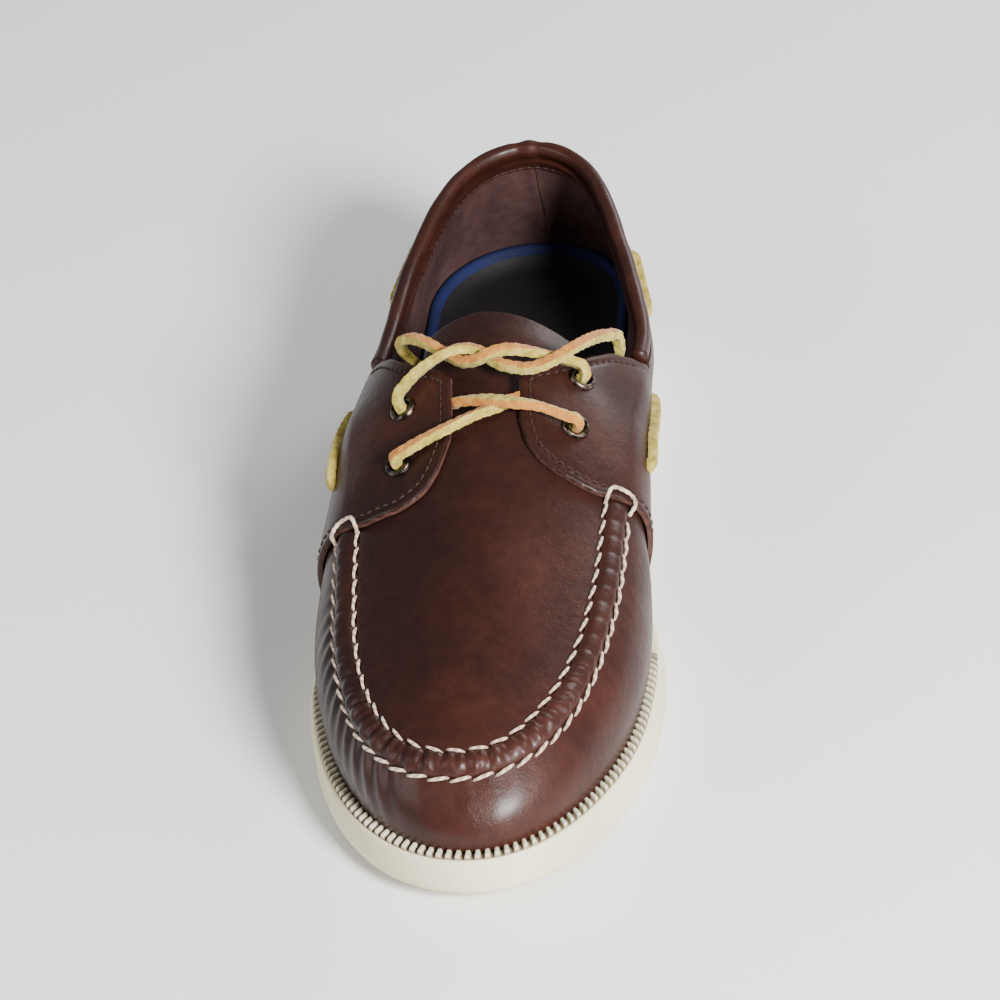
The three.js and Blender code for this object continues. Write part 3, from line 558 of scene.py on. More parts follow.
class Finish:
    """A material's nodes: one shader, and helpers that add a node and join it up."""

    def __init__(self, name, **sockets):
        self.material = bpy.data.materials.new(name)
        self.material.use_nodes = True
        self.tree = self.material.node_tree
        self.shader = self.tree.nodes["Principled BSDF"]
        for socket, value in sockets.items():
            self.shader.inputs[socket.replace("_", " ")].default_value = value
        place = self.tree.nodes.new("ShaderNodeTexCoord")
        self.object = place.outputs["Object"]
        self.uv = place.outputs["UV"]

    def node(self, kind, values=None, **settings):
        """A node with its settings, and numbers or links in its sockets."""
        made = self.tree.nodes.new("ShaderNode" + kind)
        for setting, value in settings.items():
            setattr(made, setting, value)
        for socket, value in (values or {}).items():
            if isinstance(value, bpy.types.NodeSocket):
                self.tree.links.new(value, made.inputs[socket])
            else:
                made.inputs[socket].default_value = value
        return made

    def scaled(self, source, scale):
        return self.node("Mapping", {"Vector": source, "Scale": scale}).outputs["Vector"]

    def noise(self, scale, detail=3, roughness=0.55, source=None, distortion=0.0):
        values = {"Vector": source or self.object, "Scale": scale, "Detail": detail, "Roughness": roughness}
        return self.node("TexNoise", {**values, "Distortion": distortion}).outputs["Fac"]

    def cells(self, scale, feature="F1"):
        values = {"Vector": self.object, "Scale": scale}
        return self.node("TexVoronoi", values, feature=feature).outputs["Distance"]

    def ramp(self, factor, *stops):
        """A factor turned into greys or colours between stops."""
        made = self.node("ValToRGB", {"Fac": factor})
        bars = made.color_ramp.elements
        while len(bars) < len(stops):
            bars.new(0.5)
        for bar, (position, colour) in zip(bars, stops):
            bar.position = position
            bar.color = colour if isinstance(colour, tuple) else (colour, colour, colour, 1)
        return made.outputs["Color"]

    def blend(self, factor, a, b, mode="MIX"):
        """Two colours mixed by a factor."""
        made = self.node("Mix", data_type="RGBA", blend_type=mode)
        for index, value in ((0, factor), (6, a), (7, b)):
            if isinstance(value, bpy.types.NodeSocket):
                self.tree.links.new(value, made.inputs[index])
            else:
                made.inputs[index].default_value = value
        return made.outputs[2]

    def times(self, a, b):
        return self.blend(1.0, a, b, "MULTIPLY")

    def math(self, operation, a, b=0.0):
        return self.node("Math", {0: a, 1: b}, operation=operation).outputs[0]

    def bump(self, height, strength, depth, under=None):
        values = {"Height": height, "Strength": strength, "Distance": depth}
        if under is not None:
            values["Normal"] = under
        return self.node("Bump", values).outputs["Normal"]

    def painted_shade(self):
        """Painted shade: a soft dark patch on the plug's lateral half, gone 4 cm across and 7 cm along from
        its middle.
        """
        values = {"Vector": self.object, "Location": (0.6, 1.05, 0), "Scale": (24, 15, 0)}
        centre = self.node("Mapping", values).outputs["Vector"]
        blot = self.node("TexGradient", {"Vector": centre}, gradient_type="SPHERICAL")
        return self.ramp(blot.outputs["Fac"], (0.0, 1.0), (0.45, 0.78), (1.0, 0.66))

    def use(self, **sockets):
        """Joins what is worked out to the shader, and gives the material."""
        for socket, source in sockets.items():
            self.tree.links.new(source, self.shader.inputs[socket.replace("_", " ")])
        return self.material


def leather_finish(name, dark, middle, light, rough=(0.36, 0.52), painted_shade=False):
    """Oiled full-grain leather: broad clouds, fine mottling, scuffs and a fine crackle of grain."""
    made = Finish(name, Specular_IOR_Level=0.17, Coat_Weight=0.14, Coat_Roughness=0.25)
    clouds = made.noise(21, detail=4, roughness=0.6, distortion=0.4)
    base = made.ramp(clouds, (0.3, dark), (0.5, middle), (0.75, light))
    # Painted shade: darker over the plug's lateral half, where less light falls.
    if painted_shade:
        base = made.times(base, made.painted_shade())
    mottle = made.ramp(made.noise(260, detail=3), (0.35, 0.82), (0.7, 1.12))
    base = made.times(base, mottle)
    scratch = made.scaled(made.object, (900, 90, 400))
    scuffs = made.ramp(made.noise(1, detail=2, source=scratch), (0.7, 0.0), (0.8, 1.0))
    patches = made.ramp(made.noise(34, detail=2), (0.56, 0.0), (0.7, 0.35))
    worn = made.math("MULTIPLY", scuffs, patches)
    base = made.blend(worn, base, light)
    gloss = made.ramp(made.noise(60, detail=4), (0.3, rough[0]), (0.75, rough[1]))
    grain = made.cells(1150, feature="DISTANCE_TO_EDGE")
    grain = made.ramp(grain, (0.0, 0.0), (0.18, 1.0))
    soft = made.noise(420, detail=4, roughness=0.6)
    under = made.bump(soft, 0.35, 0.0006)
    normals = made.bump(grain, 0.16, 0.00018, under)
    return made.use(Base_Color=base, Roughness=gloss, Normal=normals)


def rubber_finish():
    """Off-white rubber: a fine pebble all over, faint grime in broad patches."""
    made = Finish("sole_rubber", Specular_IOR_Level=0.35, Roughness=0.62)
    patches = made.noise(26, detail=4)
    base = made.ramp(patches, (0.3, linear(214, 204, 168)), (0.7, linear(230, 222, 190)))
    specks = made.ramp(made.noise(900, detail=2), (0.3, 0.93), (0.6, 1.0))
    base = made.times(base, specks)
    pebble = made.noise(1150, detail=2, roughness=0.5)
    return made.use(Base_Color=base, Normal=made.bump(pebble, 0.5, 0.0004))


def rib_finish():
    """The ribs' rubber, with painted shade: darker where the UV's v says how low in a gap a point is."""
    made = Finish("rib_rubber", Specular_IOR_Level=0.3, Roughness=0.7)
    height = made.node("SeparateXYZ", {"Vector": made.uv}).outputs["Y"]
    low, middle, high = linear(122, 108, 86), linear(172, 160, 132), linear(212, 205, 180)
    # Painted shade: the rubber darkens low in the gaps between the ribs.
    base = made.ramp(height, (0.05, low), (0.45, middle), (0.8, high))
    grime = made.ramp(made.noise(240, detail=3), (0.35, 0.86), (0.65, 1.0))
    base = made.times(base, grime)
    return made.use(Base_Color=base, Normal=made.bump(made.noise(1200, detail=2), 0.4, 0.0003))


def thread_finish(name, dark, light, plies, sheen):
    """Twisted thread: slanting plies from its own UV, with painted shade in the grooves between them, and
    fuzz.
    """
    made = Finish(name, Specular_IOR_Level=0.3, Roughness=0.72, Sheen_Weight=sheen)
    across = made.node("SeparateXYZ", {"Vector": made.uv})
    slant = made.math("ADD", made.math("MULTIPLY", across.outputs["X"], plies), across.outputs["Y"])
    wave = made.math("SINE", made.math("MULTIPLY", slant, 2 * math.pi))
    share = made.math("MULTIPLY_ADD", wave, 0.5)
    share.node.inputs[2].default_value = 0.5
    # Painted shade: each ply lighter on its crest and darker in the groove beside the next.
    base = made.blend(share, dark, light)
    fuzz = made.noise(2600, detail=2)
    base = made.times(base, made.ramp(fuzz, (0.3, 0.86), (0.7, 1.08)))
    return made.use(Base_Color=base, Normal=made.bump(share, 0.5, 0.00025, made.bump(fuzz, 0.3, 0.0002)))


def rawhide_finish():
    """Square rawhide lace: a tan grain face on the first quarter round, pale cut faces on the rest."""
    made = Finish("lace_rawhide", Specular_IOR_Level=0.3, Roughness=0.78, Sheen_Weight=0.15)
    round_it = made.node("SeparateXYZ", {"Vector": made.uv}).outputs["Y"]
    ragged = made.math("MULTIPLY_ADD", made.noise(900, detail=3), 0.05)
    ragged.node.inputs[2].default_value = -0.025
    place = made.math("ADD", round_it, ragged)
    grain_face = made.ramp(place, (0.0, 1.0), (0.235, 1.0), (0.26, 0.0), (0.98, 0.0), (1.0, 1.0))
    fibres = made.noise(1, detail=4, source=made.scaled(made.object, (1500, 1500, 1500)))
    streaks = made.noise(320, detail=4, roughness=0.65)
    pale = linear(128, 110, 36), linear(172, 152, 62), linear(206, 188, 112)
    tan = linear(146, 88, 28), linear(182, 120, 46), linear(206, 150, 80)
    cut = made.ramp(streaks, *zip((0.3, 0.5, 0.78), pale))
    grain = made.ramp(streaks, *zip((0.3, 0.55, 0.8), tan))
    base = made.blend(grain_face, cut, grain)
    base = made.times(base, made.ramp(fibres, (0.25, 0.8), (0.7, 1.1)))
    return made.use(Base_Color=base, Normal=made.bump(fibres, 0.55, 0.0005))


def foam_finish():
    """Blue moulded foam of the footbed's rim, with painted shade at the bottom of each pore."""
    made = Finish("insole_foam", Specular_IOR_Level=0.25, Roughness=0.8)
    base = made.ramp(made.noise(40, detail=3), (0.3, linear(9, 15, 44)), (0.7, linear(15, 26, 70)))
    cellular = made.cells(1400)
    # Painted shade: each pore darker where it is deepest.
    base = made.times(base, made.ramp(cellular, (0.0, 0.8), (0.5, 1.05)))
    return made.use(Base_Color=base, Normal=made.bump(cellular, 0.4, 0.0003))


def sock_finish():
    """The footbed's cover: near-black leather with a light grain."""
    made = Finish("insole_cover", Specular_IOR_Level=0.25, Roughness=0.72)
    base = made.ramp(made.noise(45, detail=4), (0.3, linear(9, 7, 8)), (0.7, linear(19, 15, 16)))
    return made.use(Base_Color=base, Normal=made.bump(made.noise(500, detail=4), 0.4, 0.0004))


def metal_finish():
    """Antiqued metal: dark, with paler wear in patches and a fine roughness."""
    made = Finish("eyelet_metal", Metallic=1.0)
    wear = made.ramp(made.noise(420, detail=4), (0.45, linear(44, 38, 35)), (0.62, linear(116, 102, 90)))
    rough = made.ramp(made.noise(900, detail=3), (0.3, 0.24), (0.7, 0.46))
    pitted = made.bump(made.noise(1800, detail=2), 0.2, 0.0002)
    return made.use(Base_Color=wear, Roughness=rough, Normal=pitted)


def cut_edge_finish():
    """The raw cut edge of the leather: paler and fibrous."""
    made = Finish("leather_cut_edge", Specular_IOR_Level=0.3, Roughness=0.66)
    base = made.ramp(made.noise(300, detail=4), (0.3, linear(50, 29, 23)), (0.7, linear(84, 52, 42)))
    return made.use(Base_Color=base, Normal=made.bump(made.noise(1800, detail=3), 0.5, 0.0003))


def floor_finish():
    """Matte paper, nearly white."""
    made = Finish("floor_paper", Specular_IOR_Level=0.1, Roughness=0.95)
    base = made.ramp(made.noise(3, detail=2), (0.3, (0.9, 0.9, 0.9, 1)), (0.7, (0.92, 0.92, 0.92, 1)))
    return made.use(Base_Color=base)


# The upper leather carries painted shade over the plug's lateral half.
upper_leather = leather_finish(
    "upper_leather", linear(32, 15, 12), linear(45, 21, 16), linear(61, 30, 22), painted_shade=True
)
lining_leather = leather_finish(
    "lining_leather", linear(44, 29, 28), linear(60, 41, 39), linear(76, 54, 52), rough=(0.55, 0.7)
)
sole_rubber = rubber_finish()
rib_rubber = rib_finish()
seam_thread = thread_finish("seam_thread", linear(164, 134, 114), linear(218, 196, 176), plies=3.0, sheen=0.2)
brown_thread = thread_finish("brown_thread", linear(34, 18, 15), linear(62, 36, 29), plies=1.6, sheen=0.03)
lace_rawhide = rawhide_finish()
insole_foam = foam_finish()
insole_cover = sock_finish()
eyelet_metal = metal_finish()
leather_edge = cut_edge_finish()


# Camera


def aim_camera():
    """The camera fitted to the photograph, its place and roll kept, turned to centre the shoe."""
    yaw, pitch, roll = (math.radians(value) for value in (CAMERA_YAW, CAMERA_PITCH, CAMERA_ROLL))
    old_aim = Vector(metres(CAMERA_AIM))
    back = Vector((math.sin(yaw) * math.cos(pitch), -math.cos(yaw) * math.cos(pitch), math.sin(pitch)))
    right = Vector((math.cos(yaw), math.sin(yaw), 0))
    up = back.cross(right)
    rolled_right = math.cos(roll) * right + math.sin(roll) * up
    rolled_up = math.cos(roll) * up - math.sin(roll) * right
    place = old_aim + CAMERA_DISTANCE * back
    turned = Matrix((rolled_right, rolled_up, back)).transposed()
    new_aim = Vector(metres(SHOE_AIM))
    swing = (-back).rotation_difference((new_aim - place).normalized())
    data = bpy.data.cameras.new("camera")
    data.sensor_width = SENSOR_WIDTH
    data.lens = SENSOR_WIDTH * LENS_SHARE
    camera = bpy.data.objects.new("camera", data)
    camera.matrix_world = Matrix.Translation(place) @ (swing.to_matrix() @ turned).to_4x4()
    bpy.context.scene.collection.objects.link(camera)
    bpy.context.scene.camera = camera


aim_camera()


# Laces


def lace_body(name, path, up, twist, node, seed):
    """A square lace: a superellipse carried along a path and turned by twist, its edges frayed.

    path is the middle line, up the direction that the first face looks in at the path's middle,
    twist the turn at each point in degrees.
    """
    corners, half = 24, LACE_THICKNESS / 2
    angle = 2 * np.pi * np.arange(corners) / corners - np.pi / 4
    spin = np.radians(twist)[:, None] + angle[None, :]
    bulge = np.abs(np.cos(angle)) ** LACE_SQUARENESS + np.abs(np.sin(angle)) ** LACE_SQUARENESS
    square = bulge ** (1 / LACE_SQUARENESS)
    run = run_of(path)[:, None]
    fray = 0.05 * np.sin(1.9 * run + 3 * angle + seed) + 0.04 * np.sin(4.3 * run - 5 * angle + 2 * seed)
    worn = 0.05 * np.sin(0.33 * run + seed) * np.cos(2 * angle)
    points = swept(path, up, spin, 0.955 * (half / square)[None, :] * (1 + fray + worn))
    faces, uv = tube_faces(len(path), corners)
    return piece(name, points, faces, [lace_rawhide], uv=uv, sharp=36, stands_for=[node])


def capped(path, twist):
    """The path with each end point doubled, so the last ring closes flat."""
    first, last = path[:1] + 0.02 * (path[1] - path[0]), path[-1:] - 0.02 * (path[-1] - path[-2])
    path = np.concatenate([path[:1], first, path[1:-1], last, path[-1:]])
    twist = np.concatenate([twist[:1], twist, twist[-1:]])
    return path, twist


def lace_route(route):
    """A lace's middle line over the arch, smooth through its chosen points."""
    q, at, lift = np.array(route).T
    return smooth_path(arch_off(q, at, lift), LACE_STEP)


def laces():
    """The crossing's two strands and the two loose ends, and how each one's square section turns."""
    middles = {
        "lace_cross_under": (lace_under, (0, -20, -40, 20), "lace_cross", 1.0),
        "lace_cross_over": (lace_over, (-60, -40, -80, -40), "lace_cross", 2.3),
        "lace_tail_lateral": (lace_lateral, (-100, -70, -20, 10, 0, -40), "lace_end_lateral", 3.1),
        "lace_tail_medial": (lace_medial, (60, 20, -30, 10, 30, 0), "lace_end_medial", 4.4),
    }
    made = {}
    for name, (route, turns, node, seed) in middles.items():
        path = lace_route(route)
        share = run_of(path) / run_of(path)[-1]
        twist = np.interp(share, np.linspace(0, 1, len(turns)), turns)
        path, twist = capped(path, twist)
        made[name] = (lace_body(name, path, (0, -0.3, 1), twist, node, seed), path)
    for name in ("lace_tail_lateral", "lace_tail_medial"):
        body, path = made[name]


laces()


def side_laces():
    """The lace where it runs along the outside of a quarter, in through the leather at both ends."""
    rest = OVERLAY_GAP + OVERLAY_THICKNESS + CLEARANCE + 0.35 * LACE_THICKNESS
    for seed, (name, (side, start, stop, up)) in enumerate(side_stretches.items()):
        share = np.array([0.012, 0.012, 0.045, 0.12, 0.35, 0.65, 0.88, 0.955, 0.988, 0.988])
        lift = np.array([-0.6, 0.9, 0.8 * rest, rest, rest, rest, rest, 0.8 * rest, 0.9, -0.6])
        at = start + (stop - start) * share
        path = smooth_path(off(side, at, up, lift), LACE_STEP)
        middle = 0.5 * (start + stop)
        path, twist = capped(path, np.zeros(len(path)) - 90 * side)
        label, out = name.replace("side_lace", "side_run"), normal(side, middle, up)
        lace_body(label, path, out, twist, name, 5.0 + seed)


side_laces()


# Sole


def sole():
    """Rings from the tread round the side to the top's middle, each an inset and a share of the height."""
    ring = rows(
        "inset height",
        (9, 0.02),
        (3.2, 0.02),
        (2.0, 0.02),
        (1.2, 0.05),
        (0.6, 0.1),
        (0.2, 0.18),
        (0, 0.3),
        (0.15, 0.42),
        (0.4, 0.55),
        (0.6, 0.68),
        (0.75, 0.8),
        (0.9, 0.9),
        (1.2, 0.965),
        (1.7, 1.0),
        (2.4, 1.0),
        (8, 1.0),
        (16, 1.0),
    )
    side, at = around(540)
    side, at = side[:, None], at[:, None]
    x, y = sole_edge(side, at, ring["inset"])
    z = sole_tread(y) + (sole_top(y) - sole_tread(y)) * ring["height"]
    points = np.stack([x, y, z], -1)
    middle = np.clip(at, 0.06, 0.94)
    spine_y = OUTSOLE_LENGTH * (0.5 - middle)
    spine = BALL_WIDTH * along(outsole_plan, "centre", middle)
    low = np.stack([spine, spine_y, sole_tread(spine_y) + 0.02 * sole_top(spine_y)], -1)
    high = np.stack([spine, spine_y, sole_top(spine_y)], -1)
    points = np.concatenate([low, points, high], 1)
    faces, _ = ring_faces(points)
    piece("sole_unit", points, faces, [sole_rubber], sharp=60, stands_for=["outsole"])


def tread():
    """The tread: a slab on a grid of along and across, with narrow wavy grooves every few millimetres."""
    at = np.linspace(0.012, 0.988, 620)[:, None]
    across = np.linspace(-1, 1, 49)[None, :]
    side = np.where(across < 0, -1, 1)
    x, y = sole_edge(side, at, 2.4)
    centre = along(outsole_plan, "centre", at) * BALL_WIDTH
    x = centre + (x - centre) * np.abs(across)
    y = y + 0 * x
    phase = (y + 1.6 * np.sin(x / 3.4)) / GROOVE_PITCH
    groove = smoothstep(np.cos(2 * np.pi * phase), 0.72, 0.9)
    edge = smoothstep(np.abs(across), 0.8, 0.93)
    low = sole_tread(y) + GROOVE_DEPTH * groove * (1 - edge)
    bottom = np.stack([x, y, low], -1)
    top = np.stack([x, y, sole_tread(y) + TREAD_SLAB], -1)
    faces, _ = sheet_faces(np.ones((619, 48), bool))
    points = np.concatenate([bottom.reshape(-1, 3), top.reshape(-1, 3)])
    piece("sole_tread", points, faces, [sole_rubber], sharp=50)


def ribs():
    """Bars across the ledge round the forefoot: a row of rounded steps along the outline."""
    start = np.arccos(1 - 2 * RIBS_FROM)
    side, at = around(4000, start, 2 * np.pi - start, open_end=False)
    x, y = sole_edge(side, at, TOE_LEDGE / 2)
    run = run_of(np.stack([x, y], -1))
    bars = round(run[-1] / RIB_PITCH)
    wanted = np.linspace(0, run[-1], bars * 12 + 1)
    angle = np.interp(wanted, run, np.linspace(start, 2 * np.pi - start, 4000))
    side, at = place_of(angle)
    wave = 0.5 - 0.5 * np.cos(2 * np.pi * bars * wanted / run[-1])
    bar = smoothstep(wave, 0.2, 0.75)
    ends = smoothstep(np.minimum(wanted, run[-1] - wanted), 0, 9)
    rise = 0.12 + (RIB_HEIGHT - 0.12) * bar * (0.25 + 0.75 * ends)
    outer = np.stack(sole_edge(side, at, 1.9), -1)
    inner = feather(side, at)[:, :2] + outward(side, at)[:, :2] * (CLEARANCE - 0.5)
    share = np.array([0, 0, 0.03, 0.09, 0.2, 0.4, 0.7, 1.0, 1.0])
    level = np.array([0, 0.35, 0.72, 0.93, 1, 1, 1, 1, 0])
    plan = outer[:, None] + (inner - outer)[:, None] * share[None, :, None]
    base = sole_top(plan[..., 1]) + np.where(level == 0, -0.3, 0.02)
    z = base + rise[:, None] * level
    points = np.concatenate([plan, z[..., None]], -1)
    faces, uv = tube_faces(len(wanted), len(share))
    # The UV's v carries each point's height, for the rib rubber's painted shade low in the gaps.
    lift = (rise[:, None] * level / RIB_HEIGHT).reshape(-1)
    uv[..., 1] = lift[faces]
    caps = np.array([[k, k + 1, 8 - k - 1, 8 - k] for k in range(4)])
    last = (len(wanted) - 1) * len(share)
    faces = np.concatenate([faces, caps[:, ::-1], caps + last])
    uv = np.concatenate([uv, np.full((8, 4, 2), 0.5)])
    faces, uv = faces[:, ::-1], uv[:, ::-1]
    piece("sole_ribs", points, faces, [rib_rubber], uv=uv, stands_for=["toe_ribs"])


sole()
tread()
ribs()


# Leather, footbed and eyelets


seam_side, seam_at = around(1440, 0, 2 * np.pi, open_end=False)
seam_run = run_of(top_line(seam_side, seam_at))


def seam_place(side, at):
    """The distance along the top line from the heel, by the lateral side."""
    return np.interp(turn_of(side, at), np.linspace(0, 2 * np.pi, 1440), seam_run)


def wall_run(side, at):
    """About how far it is up the wall: the straight span and 8 % more."""
    return 1.08 * np.linalg.norm(top_line(side, at) - feather(side, at), axis=-1)


def arch_run(side, at):
    """The straight span from the top line to the middle line."""
    return np.linalg.norm(arch(side, at, np.ones_like(at)) - top_line(side, at), axis=-1)


def skin_relief(side, at, up):
    """Gathers that fade away from the seam, and the slow swells of soft leather, in millimetres."""
    side, at, up = spread(side, at, up)
    below = (1 - up) * wall_run(side, at)
    above = (up - 1) * arch_run(side, at)
    from_seam = np.where(up <= 1, below, above)
    run = seam_place(side, at)
    pleat = np.cos(2 * np.pi * run / STITCH_PITCH + 0.15 * np.sin(run / 9))
    toe = smoothstep(at, 0.66, 0.72)
    lateral_toe = np.where(side < 0, smoothstep(at, 0.7, 0.8) * (1 - smoothstep(at, 0.965, 1.0)), 0)
    depth = np.where(up <= 1, 0.16 + 0.5 * lateral_toe, 0.1)
    reach = np.where(up <= 1, 5 + 9 * lateral_toe, 3.5)
    gathers = toe * depth * pleat * np.exp(-from_seam / reach) * smoothstep(from_seam, 0, 3)
    place = skin(side, at, np.minimum(up, 1.999))
    swell = np.sin(place[..., 0] / 13 + 0.7) * np.sin(place[..., 1] / 19 + 1.3)
    swell = swell + 0.6 * np.sin(place[..., 0] / 7.3 + place[..., 1] / 11.7)
    return gathers + 0.16 * swell * smoothstep(from_seam, 0, 12)


def hole_mask(grid_points, radius):
    """False on the cells whose middle is within radius of an eyelet's axis, near that eyelet."""
    near, far = grid_points[:, :-1], grid_points[:, 1:]
    centre = 0.25 * (near[:-1] + near[1:] + far[:-1] + far[1:])
    keep = np.ones(centre.shape[:2], bool)
    for side, at, up in eyelet_places.values():
        axis = normal(side, at, up)
        away = centre - skin(side, at, up)
        along_axis = away @ axis
        distance = np.linalg.norm(away - along_axis[..., None] * axis, axis=-1)
        keep &= (distance > radius) | (np.abs(along_axis) > HOLE_DEPTH)
    return keep


def edge_reach(at):
    """How far over the arch the throat's edge is, 0 behind the corner."""
    return np.where(at < CORNER_AT, 0, np.interp(at, throat_edge["at"], throat_edge["reach"]))


def upper_shell():
    """The one wall of the shoe: the skin outside and the lining a wall's thickness inside."""
    side, at = around(520)
    side, at = side[:, None], at[:, None]
    low = np.linspace(0, 1, 30)[None, :] + 0 * at
    high = 1 + edge_reach(at) * np.linspace(0, 1, 27)[None, 1:]
    up = np.concatenate([low, high], 1)
    side, at = side + 0 * up, at + 0 * up
    relief = skin_relief(side, at, up) * (up > 0.02)
    outer = layer(side, at, up, relief)
    seam = 0.35 * np.exp(-((np.sin(turn_of(side, at) / 2) * 110) ** 2) / 3) * smoothstep(up, 0.1, 0.4)
    inner = layer(side, at, up, -WALL_THICKNESS - seam + 0.5 * np.minimum(relief, 0) * (up > 0.02))
    closed_outer = np.concatenate([outer, outer[:1]])
    size = np.linalg.norm(closed_outer[:-1, 1:] - closed_outer[:-1, :-1], axis=-1)
    keep = hole_mask(closed_outer, WALL_HOLE) & (size > 0.02)
    faces, layers = sheet_faces(keep, closed=True, joined=True)
    points = np.concatenate([outer.reshape(-1, 3), inner.reshape(-1, 3)])
    piece(
        "upper_wall",
        points,
        faces,
        [upper_leather, lining_leather],
        slots=(layers == 1).astype(int),
        sharp=60,
        stands_for=["upper"],
    )


def crowded(count, ends):
    """Shares from 0 to 1, with extra ones near the last end for a rounded edge."""
    even = np.linspace(0, 1, count)
    return np.unique(np.concatenate([even, 1 - np.array(ends)]))


def quarter_places(side):
    """The quarter's grid: from the back seam to the front edge, and from the sole to the facing's edge."""
    key = "lateral" if side < 0 else "medial"
    back = (1 - np.cos(np.linspace(0.008, np.arccos(1 - 2 * CORNER_AT), 120))) / 2
    share = crowded(64, [0.004, 0.009, 0.016])[1:]
    low = np.linspace(0, 1, 40)[:-1]
    rise = crowded(44, [0.006, 0.014, 0.024])
    wall_front = along(quarter_front, key, low, "up")
    top, front = along(facing_edges, "top", rise, "rise"), along(facing_edges, key, rise, "rise")
    up = np.concatenate([low, 1 + rise * FACING_REACH[side]])
    back_up = np.concatenate([low, 1 + 0 * rise])
    start = np.concatenate([np.full(len(low), CORNER_AT), top])
    stop = np.concatenate([wall_front, front])
    back_at = back[:, None] + 0 * up[None, :]
    back_at[-1] = start
    back_rows = np.repeat(back_up[None, :], len(back), 0)
    back_rows[-1] = up
    facing_at = start[None, :] + (stop - start)[None, :] * share[:, None]
    facing_rows = np.repeat(up[None, :], len(share), 0)
    at = np.concatenate([back_at, facing_at])
    rows_up = np.concatenate([back_rows, facing_rows])
    keep = np.ones((len(at) - 1, len(up) - 1), bool)
    keep[: len(back) - 1, len(low) :] = False
    return at, rows_up, keep


def border(side):
    """The quarter's open edge as places: up the front, over the facing, and down to the corner."""
    key = "lateral" if side < 0 else "medial"
    up = np.linspace(0, 1, 60)
    rise = np.linspace(0, 1, 80)
    front = [(along(quarter_front, key, up, "up"), up)]
    front.append((along(facing_edges, key, rise, "rise"), 1 + rise * FACING_REACH[side]))
    inner_at = np.linspace(facing_edges[key][-1], facing_edges["top"][-1], 30)
    front.append((inner_at, 0 * inner_at + 1 + FACING_REACH[side]))
    back_rise = rise[::-1]
    front.append((along(facing_edges, "top", back_rise, "rise"), 1 + back_rise * FACING_REACH[side]))
    at = np.concatenate([part[0] for part in front])
    ups = np.concatenate([part[1] for part in front])
    return at, ups


def edge_distance(points, edge):
    """The distance from each point to the nearest point of an edge."""
    flat = points.reshape(-1, 3)
    nearest = np.full(len(flat), 1e9)
    for part in np.array_split(edge, max(1, len(edge) // 60)):
        gap = np.linalg.norm(flat[:, None] - part[None], axis=-1).min(1)
        nearest = np.minimum(nearest, gap)
    return nearest.reshape(points.shape[:-1])


def rounded(distance, radius):
    """0 at an edge, 1 a radius in, as a quarter circle rises."""
    share = np.clip(distance / radius, 0, 1)
    return np.sqrt(np.maximum(0, 1 - (1 - share) ** 2))


def quarter_panel(side, name):
    """An overlay with its facing: a sheet off the skin, its edge rounded, pressed down at its stitches."""
    at, up, keep = quarter_places(side)
    base = layer(side, at, up, np.full(at.shape, OVERLAY_GAP))
    edge_at, edge_up = border(side)
    edge = off(side, edge_at, edge_up, np.full(len(edge_at), OVERLAY_GAP))
    edge = smooth_path(edge, 0.7)
    inward = edge_distance(base, edge)
    crease = 0.22 * np.exp(-((inward - FACING_ROW_INSET) ** 2) / 0.5)
    soft = 0.22 * np.sin(at * 31 + 5 * up) * np.sin(7.5 * up + 2.2 + side) * smoothstep(inward, 2, 12)
    thick = OVERLAY_THICKNESS * (0.25 + 0.75 * rounded(inward, 0.9)) - crease * smoothstep(up, 0.1, 0.3)
    outer = layer(side, at, up, OVERLAY_GAP + thick + soft * smoothstep(up, 0.05, 0.3))
    keep &= hole_mask(base, QUARTER_HOLE)
    if side > 0:
        outer, base, keep = outer[::-1], base[::-1], keep[::-1]
    faces, layers = sheet_faces(keep)
    points = np.concatenate([outer.reshape(-1, 3), base.reshape(-1, 3)])
    slots = (layers > 0).astype(int)
    piece(
        name + "_panel",
        points,
        faces,
        [upper_leather, leather_edge],
        slots=slots,
        sharp=48,
        stands_for=[name],
    )


def seam_angles():
    """The turns from the heel where the seam starts, laterally, and stops."""
    return np.arccos(1 - 2 * SEAM_FROM[-1]), 2 * np.pi - np.arccos(1 - 2 * SEAM_FROM[1])


def seam_point(angle, across, distance):
    """A point by the seam: across in millimetres, down the wall where it is below 0, over the plug above."""
    side, at = place_of(angle)
    side, at, across, distance = spread(side, at, across, distance)
    run = np.where(across < 0, wall_run(side, at), arch_run(side, at))
    return off(side, at, 1 + across / run, distance), normal(side, at, 1 + across / run)


